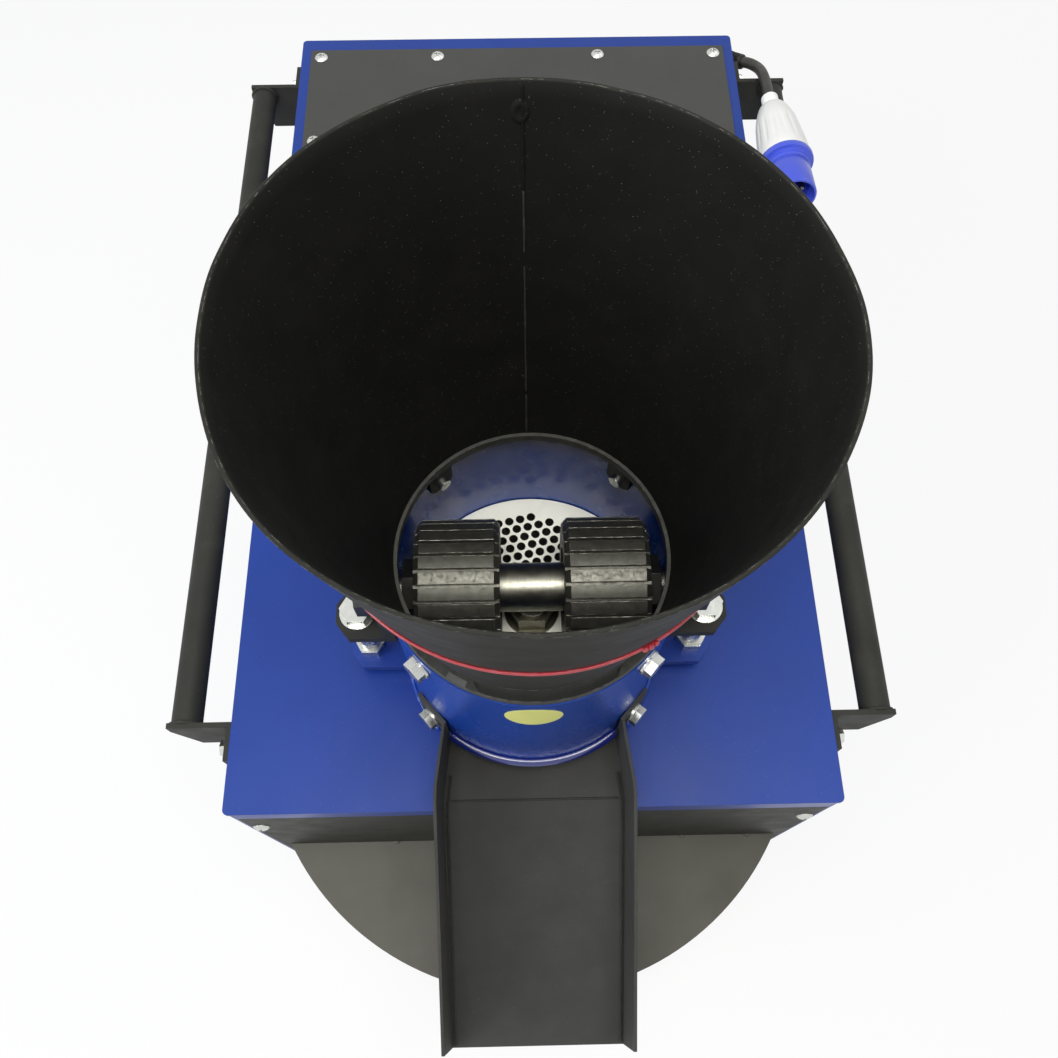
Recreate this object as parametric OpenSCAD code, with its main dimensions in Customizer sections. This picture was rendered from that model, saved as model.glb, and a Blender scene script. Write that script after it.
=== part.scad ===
/* [Box] */
// Width of the box and of its deck
box_w = 540; // [530:1:600]
// Length of the box and of its deck
box_len = 950; // [930:1:1100]
// Height of the deck's top above the floor
deck_h = 400; // [395:1:450]
// Thickness of the deck plate
deck_t = 4; // [3:0.5:6]
// Thickness of the side, front, rear and bottom sheets
sheet_t = 2; // [1.5:0.1:3]
// Height of a foot
foot_h = 30; // [20:1:40]
// Width of a foot
foot_w = 80; // [60:1:90]
// Length of a foot
foot_len = 60; // [50:1:80]
// Leg of the frame's angle bars
angle_w = 36; // [30:1:40]
// Thickness of the frame's angle bars
angle_t = 4; // [3:0.5:5]
// Height of the deck's folded front and rear edges
lip_h = 22; // [16:1:30]
// Blue border left beside the front and rear panels
panel_border = 6; // [4:0.5:10]
// How far the front and rear panels sit inside the deck's edge
panel_inset = 1; // [0.5:0.1:2]

/* [Rear cover] */
// Blue border beside the cover
cover_side_border = 12; // [8:1:20]
// Blue border behind the cover
cover_rear_border = 20; // [12:1:30]
// Distance from the deck's front edge to the cover's front edge
cover_start = 486; // [470:1:520]
// Thickness of the cover
cover_t = 2; // [1.5:0.1:3]

/* [Screws] */
// Diameter of a pan head
pan_d = 16; // [12:0.5:18]
// Height of a pan head
pan_h = 4.5; // [3:0.1:6]
// Diameter of a panel screw's shank
pan_shank_d = 6; // [5:0.5:8]
// Screws along each side of the cover
cover_screw_count = 4; // [3:1:6]

/* [Handles] */
// Diameter of a handle tube
tube_d = 28; // [24:1:32]
// Distance from the box's side to the tube's axis
tube_out = 45; // [40:1:60]
// Depth of the tube's axis below the deck's top
tube_drop = 16; // [15:1:25]
// Distance from the deck's front edge to the front bracket
handle_start = 77; // [70:1:120]
// Distance from the deck's front edge to the rear bracket's rear face
handle_end = 876; // [840:1:880]
// Thickness of a bracket
bracket_t = 5; // [4:0.5:8]
// Height of a bracket
bracket_h = 60; // [50:1:70]
// Length of the foot plate that bolts a bracket to the box
bracket_foot = 30; // [26:1:34]

/* [Drum] */
// Distance from the deck's front edge to the head's axis
head_setback = 144; // [140:1:170]
// Outer diameter of the drum
drum_d = 219; // [216:1:224]
// Wall of the drum
drum_wall = 6; // [5:0.5:6.5]
// Height of the drum above the deck
drum_h = 219; // [218:1:224]
// Width of the outlet window
window_w = 142; // [120:1:146]
// Height of the outlet window's sill above the deck
sill_h = 9; // [6:0.5:11]
// Height of the outlet window's top above the deck
window_top = 37; // [34:1:40]
// Diameter of the bead over the window
bead_d = 9; // [7:0.5:10]

/* [Die] */
// Diameter of the die
die_d = 205.4; // [204:0.1:206]
// Thickness of the die
die_t = 22; // [18:1:26]
// Height of the die's top above the deck
die_top = 106; // [104:1:108]
// Diameter of a die hole
hole_d = 7.4; // [6:0.1:8]
// Distance between neighbouring die holes
hole_pitch = 9.6; // [9.4:0.1:11]
// Turn of the hole pattern in degrees
hole_turn = 12; // [0:1:30]
// Radius inside which the die has no holes
hole_r_in = 29; // [28:1:34]
// Radius outside which the die has no holes
hole_r_out = 86; // [80:1:90]

/* [Rollers] */
// Diameter of a roller
roller_d = 107; // [104:1:108]
// Length of a roller
roller_len = 63; // [58:1:64]
// Gap between the two rollers
roller_gap = 48; // [46:1:52]
// Bars round a roller
bar_count = 28; // [20:1:32]
// Width of the groove between two bars
groove_w = 2.6; // [1.5:0.1:4]
// Depth of the groove between two bars
groove_depth = 4; // [2:0.5:6]
// Chamfer on a roller's ends
roller_chamfer = 4; // [2:0.5:5]
// Diameter of the axle
axle_d = 30; // [28:0.5:30]
// Diameter of the sleeve between the rollers
sleeve_d = 38; // [35:1:42]
// Diameter of the bearings in a roller
roller_bearing_d = 62; // [58:1:66]
// Width of the bearings in a roller
roller_bearing_w = 16; // [14:1:18]
// Gap between the rollers and the die
nip = 0.3; // [0.2:0.1:1]

/* [Hopper] */
// Outer diameter of the hopper's rim
rim_d = 308; // [290:1:330]
// Outer diameter of the cone's lower end
cone_low_d = 203; // [200:1:210]
// Height of the cone
cone_h = 274; // [240:1:320]
// Thickness of the cone's sheet
cone_t = 2.5; // [2:0.1:3.5]
// Inner diameter of the seat ring
ring_in_d = 193; // [188:0.5:195]
// Outer diameter of the seat ring
ring_out_d = 217; // [214:1:219]
// Height of the seat ring
ring_h = 8; // [5:0.5:10]
// Thickness of a hopper tab
tab_t = 3; // [2:0.5:4]
// Width of a hopper tab
tab_w = 22; // [18:1:26]
// Length of a hopper tab
tab_len = 30; // [26:1:36]

/* [Chute] */
// Inner width of the chute
chute_w = 156; // [150:1:160]
// Inner width of the chute where it meets the drum
chute_neck_w = 145; // [143:1:148]
// Thickness of the chute's sheet
chute_t = 2.5; // [2:0.1:3]
// How far the chute reaches ahead of the deck's front edge
chute_reach = 190; // [170:1:220]
// Depth of the chute's tip below the deck's top
chute_drop = 142; // [120:1:160]
// Height of the chute's walls above its floor
chute_wall_h = 102; // [80:1:110]
// Height of the chute's flat floor above the deck
chute_floor_h = 9; // [8:0.5:11]
// Distance from the deck's front edge to the chute's fold
chute_fold = 7; // [5:1:7]

/* [Roller adjusters] */
// Thickness of the plate outside the drum that carries the axle
carrier_t = 10; // [8:1:12]
// Width of the carrier plates and lugs
lug_w = 44; // [40:1:48]
// Thickness of a lug
lug_t = 9; // [8:0.5:12]
// Distance from the head's axis to a lug's end
lug_reach = 161; // [158:1:168]
// Height of the upper lug's top above the deck
upper_lug_h = 107; // [104:1:112]
// Height of the lower lug's top above the deck
lower_lug_h = 25; // [22:1:32]
// Diameter of an adjusting bolt
adjuster_d = 16; // [14:1:18]
// Distance from the head's axis to an adjusting bolt
adjuster_out = 143; // [141:1:145]

/* [Pulley guard] */
// Radius of the guard
guard_r = 293; // [285:1:300]
// Height of the guard's lower edge above the floor
guard_low = 60; // [48:1:78]
// Height of the guard
guard_h = 130; // [120:1:150]
// Thickness of the guard's sheet
guard_t = 3; // [2:0.5:4]

/* [Drive] */
// Radius of the driven pulley
big_r = 240; // [230:1:244]
// Radius of the motor pulley
small_r = 60; // [55:1:70]
// Distance between the two pulleys' axes
belt_centres = 530; // [520:1:560]
// Number of belts
belt_count = 3; // [2:1:3]
// Distance between two belts
belt_pitch = 15; // [15:0.5:18]
// Width of a belt at its back
belt_w = 13; // [12:0.5:13]
// Thickness of a belt
belt_t = 8; // [7:0.5:9]
// Height of the belts' middle above the floor
belt_z = 107; // [103:1:115]
// Diameter of the main shaft in its bearings
shaft_d = 45; // [42:1:48]
// Outer diameter of the main bearings
bearing_d = 85; // [80:1:90]
// Width of the main bearings
bearing_w = 19; // [17:1:21]
// Outer diameter of the bearing housing
housing_d = 108; // [100:1:116]
// Gap between the driven pulley's hub and the bearing housing
housing_gap = 51; // [46:1:71]
// Diameter of the motor
motor_d = 180; // [170:1:200]
// Gap between the fan cowl and the deck
motor_gap = 25; // [20:1:40]
// Diameter of the motor shaft
motor_shaft_d = 28; // [24:1:30]

/* [Cord] */
// Diameter of the cord
cord_d = 13; // [13:1:13]

/* [Hidden] */
$fn = 64;
eps = 0.01;
over = 1;
fit = 0.05;
seat = 0.3;

// Places of the box, with the origin on the floor under the middle of the part's box
rear_reach = pan_h - panel_inset;
front_y = -(box_len + rear_reach - chute_reach) / 2;
rear_y = front_y + box_len;
mid_y = (front_y + rear_y) / 2;
inner_top = deck_h - deck_t;
side_x = box_w / 2;
inner_x = side_x - sheet_t;
panel_w = box_w - 2 * panel_border;
panel_low = foot_h + sheet_t;
panel_high = deck_h - lip_h - seat;
panel_face = panel_inset;
lip_t = panel_face + sheet_t;
flange_back = panel_face + 2 * sheet_t;
flange_w = 28;

// Panel screws
screw_edge = 9.5;
screw_top = 78;
screw_low = 19;
screw_x = panel_w / 2 - screw_edge;
guard_drop = deck_h - guard_low - guard_h;
panel_screw_zs = [panel_low + screw_low, deck_h - screw_top];
pan_dome = 10;
cross_w = 1.8;
cross_len = 8;
cross_depth = 2.4;

// Rear cover and the rails that it lies on
cover_w = box_w - 2 * cover_side_border;
cover_front_y = front_y + cover_start;
cover_rear_y = rear_y - cover_rear_border;
cover_edge = 13;
cover_screw_x = cover_w / 2 - cover_edge;
cover_inner_x = 100;
cover_step = (cover_rear_y - cover_front_y - 2 * cover_edge) / (cover_screw_count - 1);
cover_side_places = [for (s = [-1, 1], i = [0:cover_screw_count - 1])
    [s * cover_screw_x, cover_front_y + cover_edge + i * cover_step]];
cover_rear_places = [for (s = [-1, 1]) [s * cover_inner_x, cover_rear_y - cover_edge]];
cover_places = concat(cover_side_places, cover_rear_places);
cover_lap = 26;
cover_corner = 2;
deck_corner = 5;
louvre_count = 8;
louvre_x = 120;
louvre_w = 110;
louvre_h = 8;
louvre_low = 130;
louvre_step = 20;

// Handles
bracket_top = 2;
bracket_reach = 59;
bracket_low_reach = 43;
bracket_square = 14;
tube_wall = 2.5;
handle_bolt_z1 = 18;
handle_bolt_z2 = 46;
m8_d = 8;
m8_af = 13;
m8_head = 5.3;
m8_washer_d = 17;
m8_washer_t = 1.6;

// Head
head_y = front_y + head_setback;
drum_r = drum_d / 2;
drum_in_r = drum_r - drum_wall;
die_r = die_d / 2;
roller_r = roller_d / 2;
axis_h = die_top + roller_r + nip;
axle_r = axle_d / 2;
roller_in = roller_gap / 2;
roller_out = roller_in + roller_len;
slot_play = 0.6;
slot_deep = 5;
slot_low = axis_h - axle_r - slot_play;
slot_high = 181;
die_low = die_top - die_t;
bead_h = window_top + 5;
bead_out = 2;
bead_turn = asin((chute_neck_w / 2 - 1) / (drum_r + bead_out + bead_d / 2));

// Axle ends and their plates
bearing_sink = 2;
bearing_hold_r = roller_bearing_d / 2;
bearing_step = 3;
sleeve_half = roller_in + bearing_sink - seat;
nut_in = roller_out - bearing_sink + seat;
axle_washer_r = 21;
axle_washer_t = 3;
nut_w = 10;
carrier_x = drum_r + 1.5;
axle_end_d = 24;
axle_nut_af = 41;
end_nut_af = 36;
end_nut_w = 15;
axle_tip = carrier_x + carrier_t + end_nut_w + 2;
carrier_high = 26;
lug_chamfer_x = 11;
lug_chamfer_y = 14;

// Adjusting bolts
adjuster_af = 24;
adjuster_head = 10;
adjuster_washer_d = 30;
adjuster_washer_t = 2.5;
adjuster_tip = 4;
lock_nut_h = 12;

// Hopper
ring_base = drum_h;
cone_base = drum_h + ring_h;
tab_out = drum_in_r - 0.9;
tab_angles = [47.5, 137, 223, 312.5];
tab_chamfer = 5;
m10_d = 10;
m10_af = 16;
m10_head = 6.4;
m10_washer_d = 20;
m10_washer_t = 2;
hopper_bolt_h = 200;
hopper_bolt_len = 15;

// Chute
ear_angle = 49;
ear_len = 33;
ear_low = 26;
ear_high = 78;
ear_chamfer = 11;
chute_bolt_h = 52;
chute_bolt_len = 16;
chute_tip_y = front_y - chute_reach;
chute_fold_y = front_y + chute_fold;
chute_tip_z = deck_h - chute_drop;
chute_floor_z = deck_h + chute_floor_h;
chute_slope = atan2(chute_drop + chute_floor_h, chute_reach + chute_fold);
chute_floor_down = chute_t / cos(chute_slope);
chute_shoulder_y = front_y - 5;
chute_shoulder_h = 82;
chute_neck_h = 75;
wall_x = chute_w / 2 + chute_t / 2;
neck_x = chute_neck_w / 2 + chute_t / 2;
ear_r = drum_r + chute_t / 2;
ear_mid = [ear_r * sin(ear_angle), head_y - ear_r * cos(ear_angle)];
chute_neck_y = ear_mid[1] - ear_len / 2 * sin(ear_angle);

// Main shaft and what it carries
die_seat_d = 40;
pulley_seat_d = 38;
shaft_body_d = 52;
thread_d = 30;
die_nut_af = 36;
die_nut_h = 21;
die_washer_r = 22.5;
die_washer_t = 4;
nut_show = 4;
shaft_collar_r = 30;
collar_low = 4;
neck_hole_r = 50;
lip_r = 32;
bearing_in = 6;
race_share = 0.28;
race_sink = 1;
thrower_base = 12;
thrower_t = 4;
thrower_r = 97;
thrower_hub_r = 30;
vane_t = 4;
vane_h = 18;
vane_count = 4;
vane_turn = 20;
housing_flange_r = 88;
housing_flange_t = 10;
housing_bolt_r = 70;
housing_bolt_count = 6;
cap_t = 6;
upper_bearing_z = inner_top - cap_t - bearing_w;
pulley_hub_r = 40;
pulley_hub_low = 26;
pulley_hub_high = 48;
housing_low = belt_z + pulley_hub_high + housing_gap;
housing_h = inner_top - housing_low;
pulley_rim_t = 22;
pulley_web_t = 10;
pulley_hole_r = 48;
pulley_hole_at = 135;
pulley_hole_count = 6;
pulley_nut_h = 16;
pulley_nut_af = 46;

// Belts, seen in section and from above
belt_low_share = 0.6;
groove_play = 0.4;
belt_turn = asin((big_r - small_r) / belt_centres);
belt_straight = belt_centres * cos(belt_turn);
belt_back = 0.5;
groove_floor = 2.5;
rim_margin = 3;
rim_h = (belt_count - 1) * belt_pitch + belt_w + 2 * rim_margin + 2 * groove_play;
hub_z = belt_z - pulley_hub_low;
hub_h = pulley_hub_low + pulley_hub_high;
belt_zs = [for (i = [0:belt_count - 1]) belt_z + (i - (belt_count - 1) / 2) * belt_pitch];

// Motor
motor_y = head_y + belt_centres;
motor_r = motor_d / 2;
motor_base = belt_z + rim_h / 2 + 18;
motor_plate_t = 8;
motor_plate_w = 250;
motor_plate_len = 290;
motor_bell_r = 80;
motor_bolt_r = 92;
motor_flange_r = 105;
motor_flange_t = 12;
motor_bell_h = 20;
motor_top_bell_h = 18;
fan_room = 46;
cowl_t = 2;
vent_count = 12;
vent_in = 25;
vent_len = 40;
vent_w = 8;
fin_count = 36;
fin_depth = 10;
fin_gap = 8;
frame_wall = 6;
winding_h = 12;
box_out = 45;
box_y = 90;
box_share = 0.48;
box_up_share = 0.24;
m12_d = 12;
m12_af = 18;
m12_head = 7.5;
rotor_r = 50;
rotor_in = 12.5;
air_gap = 0.6;
motor_bearing_r = 31;
motor_bearing_w = 14;
fin_base = motor_base + motor_flange_t + motor_bell_h;
cowl_h = motor_top_bell_h + fan_room;
motor_fin_h = inner_top - motor_gap - cowl_h - fin_base;
fin_top = fin_base + motor_fin_h;
cowl_base = fin_top;
rotor_h = motor_fin_h - 2 * rotor_in;
box_up = box_up_share * motor_fin_h;
box_z = box_share * motor_fin_h;
fan_r = 74;
fan_h = 26;
fan_up = 8;
fan_turn = 10;
fan_hub_r = 24;
blade_count = 7;
blade_t = 3;
blade_h = 22;
rail_y_out = 108;
rail_bolt_x = 100;
rail_bolt_in = 16;
guard_hole_w = 430;
guard_hole_drop = 4;
guard_hole_h = guard_h - 2 * guard_hole_drop;

// Cord and plug: control points of the cord's smooth route, from the deck's rear right corner, chosen by hand
cord_corner = [side_x, rear_y, deck_h];
cord_run = [
    [14, -37, -9],
    [22, -45, -5],
    [29, -57, -1],
    [31, -72, 5],
    [31, -87, 10],
    [31, -103, 14],
    [30, -118, 17],
    [30, -132, 19]
];
plug_run = [33, -245, 27.7];
cord_points = [for (p = cord_run) cord_corner + p];
cord_steps = 14;
cord_sides = 10;
boot_base_r = 11;
boot_tip_r = 8.5;
boot_len = 30;
boot_hole_r = 8;
plug_start = cord_points[7];
plug_aim = cord_corner + plug_run;
neck_r = 10;
collar_r = 31;
collar_at = 109;
collar_t = 8;
sleeve_r = 25;
plug_sleeve_t = 3;
plug_sleeve_len = 50;
pin_r = 3;
pin_ring = 12;
pin_len = 36;

steel = [0.62, 0.62, 0.6];
zinc = [0.8, 0.81, 0.82];
blue = [0.1, 0.16, 0.52];
black = [0.09, 0.09, 0.09];
dark_steel = [0.2, 0.19, 0.18];

module hex(af, h) {
    cylinder(d = af / cos(30), h = h, $fn = 6);
}

module ring(r_out, r_in, h) {
    difference() {
        cylinder(r = r_out, h = h);
        translate([0, 0, -over]) cylinder(r = r_in, h = h + 2 * over);
    }
}

module at_head(z = 0) {
    translate([0, head_y, deck_h + z]) children();
}

module along_x(x = 0) {
    translate([x, 0, 0]) rotate([0, 90, 0]) children();
}

// Both sides of the part, left and right alike
module both_sides() {
    children();
    mirror([1, 0, 0]) children();
}

// Places round the head's axis, counted from the front, with their own axis pointing outward
module round_head(angle, r, z) {
    at_head(z) rotate([0, 0, angle - 90]) along_x(r) children();
}

module pan_screw(shank) {
    difference() {
        intersection() {
            cylinder(d = pan_d, h = pan_h);
            translate([0, 0, pan_h - pan_dome]) sphere(r = pan_dome);
        }
        translate([0, 0, pan_h - cross_depth / 2]) {
            cube([cross_len, cross_w, cross_depth + over], center = true);
            cube([cross_w, cross_len, cross_depth + over], center = true);
        }
    }
    translate([0, 0, -shank]) cylinder(d = pan_shank_d, h = shank + eps);
}

module hex_bolt(d, af, head, washer_d, washer_t, shank) {
    cylinder(d = washer_d, h = washer_t);
    translate([0, 0, washer_t]) hex(af, head);
    translate([0, 0, -shank]) cylinder(d = d, h = shank + washer_t);
}

module panel_places() {
    for (s = [-1, 1], z = panel_screw_zs)
        translate([s * screw_x, 0, z]) rotate([90, 0, 0]) children();
}

module panel_blank() {
    translate([-panel_w / 2, 0, panel_low]) cube([panel_w, sheet_t, panel_high - panel_low]);
}

// An angle bar along Z, with its corner at the origin and its legs toward +X and +Y
module angle_bar(len) {
    cube([angle_w, angle_t, len]);
    cube([angle_t, angle_w, len]);
}

module corner_post() {
    translate([-inner_x, front_y + flange_back, panel_low])
        angle_bar(inner_top - panel_low);
}

module cross_bar(z, up) {
    translate([-inner_x, front_y + flange_back, z]) {
        cube([2 * inner_x, angle_t, angle_w]);
        translate([0, 0, up ? 0 : angle_w - angle_t]) cube([2 * inner_x, angle_w, angle_t]);
    }
}

module side_bar(z, up) {
    translate([-inner_x, front_y + flange_back, z]) {
        cube([angle_t, box_len - 2 * flange_back, angle_w]);
        translate([0, 0, up ? 0 : angle_w - angle_t])
            cube([angle_w, box_len - 2 * flange_back, angle_t]);
    }
}

module front_and_rear() {
    children();
    translate([0, 2 * mid_y, 0]) mirror([0, 1, 0]) children();
}

module motor_rail() {
    translate([-inner_x, motor_y + rail_y_out, motor_base])
        difference() {
            union() {
                cube([2 * inner_x, angle_w, angle_t]);
                translate([0, angle_w - angle_t, 0]) cube([2 * inner_x, angle_t, angle_w]);
                translate([0, angle_w - angle_t, panel_low - motor_base])
                    cube([angle_w, angle_t, inner_top - panel_low]);
                translate([2 * inner_x - angle_w, angle_w - angle_t, panel_low - motor_base])
                    cube([angle_w, angle_t, inner_top - panel_low]);
            }
            for (s = [-1, 1])
                translate([inner_x + s * rail_bolt_x, rail_bolt_in, -over]) slot_cut();
        }
}

module slot_cut() {
    cylinder(d = m12_d + 2 * fit, h = angle_t + 2 * over);
}

module base_frame() {
    color(blue) {
        front_and_rear() {
            both_sides() corner_post();
            cross_bar(panel_low, true);
            cross_bar(inner_top - angle_w, false);
        }
        both_sides() {
            side_bar(panel_low, true);
            side_bar(inner_top - angle_w, false);
        }
        motor_rail();
        translate([0, 2 * motor_y, 0]) mirror([0, 1, 0]) motor_rail();
    }
}

module feet() {
    color(black)
        front_and_rear() both_sides()
            translate([-side_x, front_y + flange_back, 0]) cube([foot_w, foot_len, foot_h]);
}

module bottom_sheet() {
    color(black)
        translate([-inner_x, front_y + panel_face + sheet_t, foot_h])
            cube([2 * inner_x, box_len - 2 * (panel_face + sheet_t), sheet_t]);
}

module rounded_plate(w, len, t, r) {
    linear_extrude(t) {
        translate([-w / 2 + r, 0]) square([w - 2 * r, len]);
        translate([-w / 2, r]) square([w, len - 2 * r]);
        for (x = [-w / 2 + r, w / 2 - r], y = [r, len - r]) translate([x, y]) circle(r = r);
    }
}

module deck_plate() {
    color(blue)
        difference() {
            union() {
                translate([0, front_y, inner_top]) rounded_plate(box_w, box_len, deck_t, deck_corner);
                front_and_rear() translate([-panel_w / 2, front_y, deck_h - lip_h])
                    cube([panel_w, lip_t, lip_h - deck_t + eps]);
            }
            translate([-cover_w / 2 + cover_lap, cover_front_y + cover_lap, inner_top - over])
                cube([cover_w - 2 * cover_lap, cover_rear_y - cover_front_y - 2 * cover_lap,
                    deck_t + 2 * over]);
            at_head(-deck_t - over) cylinder(r = neck_hole_r, h = deck_t + 2 * over);
            housing_places() translate([0, 0, -deck_t - over])
                cylinder(d = m10_d + 2 * fit, h = deck_t + 2 * over);
            for (p = cover_places) translate([p[0], p[1], inner_top - over])
                cylinder(d = pan_shank_d + 2 * fit, h = deck_t + 2 * over);
        }
}

module front_panel() {
    color(black)
        translate([0, front_y + panel_face, 0])
            difference() {
                panel_blank();
                translate([-guard_hole_w / 2, -over, deck_h - guard_drop - guard_hole_drop - guard_hole_h])
                    cube([guard_hole_w, sheet_t + 2 * over, guard_hole_h]);
                panel_places() translate([0, 0, -sheet_t - over])
                    cylinder(d = pan_shank_d + 2 * fit, h = sheet_t + 2 * over);
            }
}

module rear_panel() {
    color(black)
        translate([0, rear_y - panel_face - sheet_t, 0])
            difference() {
                panel_blank();
                panel_places() translate([0, 0, -sheet_t - over])
                    cylinder(d = pan_shank_d + 2 * fit, h = sheet_t + 2 * over);
                for (s = [-1, 1], i = [0:louvre_count - 1])
                    translate([s * louvre_x - louvre_w / 2, -over, louvre_low + i * louvre_step])
                        cube([louvre_w, sheet_t + 2 * over, louvre_h]);
            }
}

module side_sheet() {
    difference() {
        union() {
            translate([-side_x, front_y + panel_face + sheet_t, foot_h])
                cube([sheet_t, box_len - 2 * (panel_face + sheet_t), inner_top - foot_h]);
            front_and_rear()
                translate([-side_x, front_y + panel_face + sheet_t, panel_low])
                    cube([flange_w, sheet_t, inner_top - panel_low]);
        }
        front_and_rear()
            translate([0, front_y + panel_face + sheet_t, 0]) panel_places()
                translate([0, 0, -sheet_t - over])
                    cylinder(d = pan_shank_d + 2 * fit, h = sheet_t + 2 * over);
    }
}

module left_side_sheet() {
    color(blue)
        difference() {
            side_sheet();
            handle_bolt_places() translate([0, 0, -sheet_t - bracket_t - over])
                cylinder(d = m8_d + 2 * fit, h = sheet_t + bracket_t + 2 * over);
        }
}

module right_side_sheet() {
    color(blue)
        difference() {
            mirror([1, 0, 0]) side_sheet();
            mirror([1, 0, 0]) handle_bolt_places() translate([0, 0, -sheet_t - bracket_t - over])
                cylinder(d = m8_d + 2 * fit, h = sheet_t + bracket_t + 2 * over);
            translate([inner_x - over, cord_exit[1], cord_exit[2]]) along_x()
                cylinder(r = boot_hole_r, h = sheet_t + 2 * over);
        }
}

module panel_screws() {
    color(zinc)
        front_and_rear()
            translate([0, front_y + panel_face, 0]) panel_places() pan_screw(2 * sheet_t);
}

module rear_cover() {
    color(black)
        difference() {
            translate([0, cover_front_y, deck_h])
                rounded_plate(cover_w, cover_rear_y - cover_front_y, cover_t, cover_corner);
            for (p = cover_places) translate([p[0], p[1], deck_h - over])
                cylinder(d = pan_shank_d + 2 * fit, h = cover_t + 2 * over);
        }
}

module cover_screws() {
    color(zinc)
        for (p = cover_places) translate([p[0], p[1], deck_h + cover_t]) pan_screw(deck_t + cover_t);
}

// Places of the four bolts of the left handle, with their own axis pointing out of the box
module handle_bolt_places() {
    for (y = [front_y + handle_start - bracket_foot / 2, front_y + handle_end + bracket_foot / 2],
         z = [-handle_bolt_z1, -handle_bolt_z2])
        translate([-side_x - bracket_t, y, deck_h + z]) rotate([0, -90, 0]) children();
}

module bracket_web() {
    translate([0, bracket_t, deck_h]) rotate([90, 0, 0]) linear_extrude(bracket_t)
        polygon([
            [-side_x, -bracket_top], [-side_x - bracket_reach, -bracket_top],
            [-side_x - bracket_reach, -bracket_top - bracket_square],
            [-side_x - bracket_low_reach, -bracket_top - bracket_h],
            [-side_x, -bracket_top - bracket_h]
        ]);
}

module handle() {
    difference() {
        union() {
            translate([0, front_y + handle_start, 0]) bracket_web();
            translate([0, front_y + handle_end - bracket_t, 0]) bracket_web();
            for (y = [front_y + handle_start - bracket_foot, front_y + handle_end])
                translate([-side_x - bracket_t, y, deck_h - bracket_top - bracket_h])
                    cube([bracket_t, bracket_foot, bracket_h]);
            translate([-side_x - tube_out, front_y + handle_start + bracket_t, deck_h - tube_drop])
                rotate([-90, 0, 0])
                    ring(tube_d / 2, tube_d / 2 - tube_wall, handle_end - handle_start - 2 * bracket_t);
        }
        handle_bolt_places() translate([0, 0, -bracket_t - over])
            cylinder(d = m8_d + 2 * fit, h = bracket_t + 2 * over);
    }
}

module left_handle() {
    color(blue) handle();
}

module right_handle() {
    color(blue) mirror([1, 0, 0]) handle();
}

module handle_bolts() {
    color(zinc)
        both_sides() handle_bolt_places()
            hex_bolt(m8_d, m8_af, m8_head, m8_washer_d, m8_washer_t, bracket_t + sheet_t);
}

module pulley_guard() {
    color(black)
        intersection() {
            at_head(-guard_drop - guard_h) difference() {
                cylinder(r = guard_r, h = guard_h);
                translate([0, 0, -over]) cylinder(r = guard_r - guard_t, h = guard_h - guard_t + over);
            }
            translate([-guard_r, head_y - guard_r - over, deck_h - guard_drop - guard_h - over])
                cube([2 * guard_r, guard_r - head_setback + panel_face + over, guard_h + 2 * over]);
        }
}

module drum() {
    color(blue)
        difference() {
            at_head() ring(drum_r, drum_in_r, drum_h);
            at_head() {
                translate([-window_w / 2, -drum_d, sill_h]) cube([window_w, drum_d, window_top - sill_h]);
                both_sides() translate([drum_in_r - slot_deep, -axle_r - slot_play, slot_low])
                    cube([drum_wall + 2 * slot_deep, axle_d + 2 * slot_play, slot_high - slot_low]);
            }
            for (a = tab_angles) round_head(a, drum_in_r - slot_deep, hopper_bolt_h)
                cylinder(d = m10_d + 2 * fit, h = drum_wall + 2 * slot_deep);
            for (a = [-ear_angle, ear_angle]) round_head(a, drum_in_r - slot_deep, chute_bolt_h)
                cylinder(d = m10_d + 2 * fit, h = drum_wall + 2 * slot_deep);
        }
}

module window_bead() {
    color(blue)
        at_head(bead_h) rotate([0, 0, -90 - bead_turn]) rotate_extrude(angle = 2 * bead_turn)
            intersection() {
                translate([drum_r + bead_out, 0]) circle(d = bead_d);
                translate([drum_r, -bead_d]) square([bead_d * 2, bead_d * 2]);
            }
}

module lug(top, reach_x) {
    difference() {
        at_head(top - lug_t) linear_extrude(lug_t)
            polygon([
                [0, -lug_w / 2], [reach_x - lug_chamfer_x, -lug_w / 2],
                [reach_x, -lug_w / 2 + lug_chamfer_y], [reach_x, lug_w / 2 - lug_chamfer_y],
                [reach_x - lug_chamfer_x, lug_w / 2], [0, lug_w / 2]
            ]);
        at_head(top - lug_t - over) translate([adjuster_out, 0, 0])
            cylinder(r = adjuster_d / 2 + seat, h = lug_t + 2 * over);
    }
}

module lower_lugs() {
    color(blue)
        both_sides() difference() {
            lug(lower_lug_h, lug_reach);
            at_head(lower_lug_h - lug_t - over) cylinder(r = drum_r, h = lug_t + 2 * over);
        }
}

module lock_nuts() {
    color(zinc)
        both_sides() at_head(lower_lug_h) translate([adjuster_out, 0, 0])
            difference() {
                hex(adjuster_af, lock_nut_h);
                translate([0, 0, -over]) cylinder(r = adjuster_d / 2 + seat, h = lock_nut_h + 2 * over);
            }
}

module hopper_cone() {
    color(blue)
        at_head(cone_base) rotate_extrude()
            polygon([
                [cone_low_d / 2 - cone_t, 0], [cone_low_d / 2, 0],
                [rim_d / 2, cone_h], [rim_d / 2 - cone_t, cone_h]
            ]);
}

module hopper_ring() {
    color(blue) at_head(ring_base) ring(ring_out_d / 2, ring_in_d / 2, ring_h);
}

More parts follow.
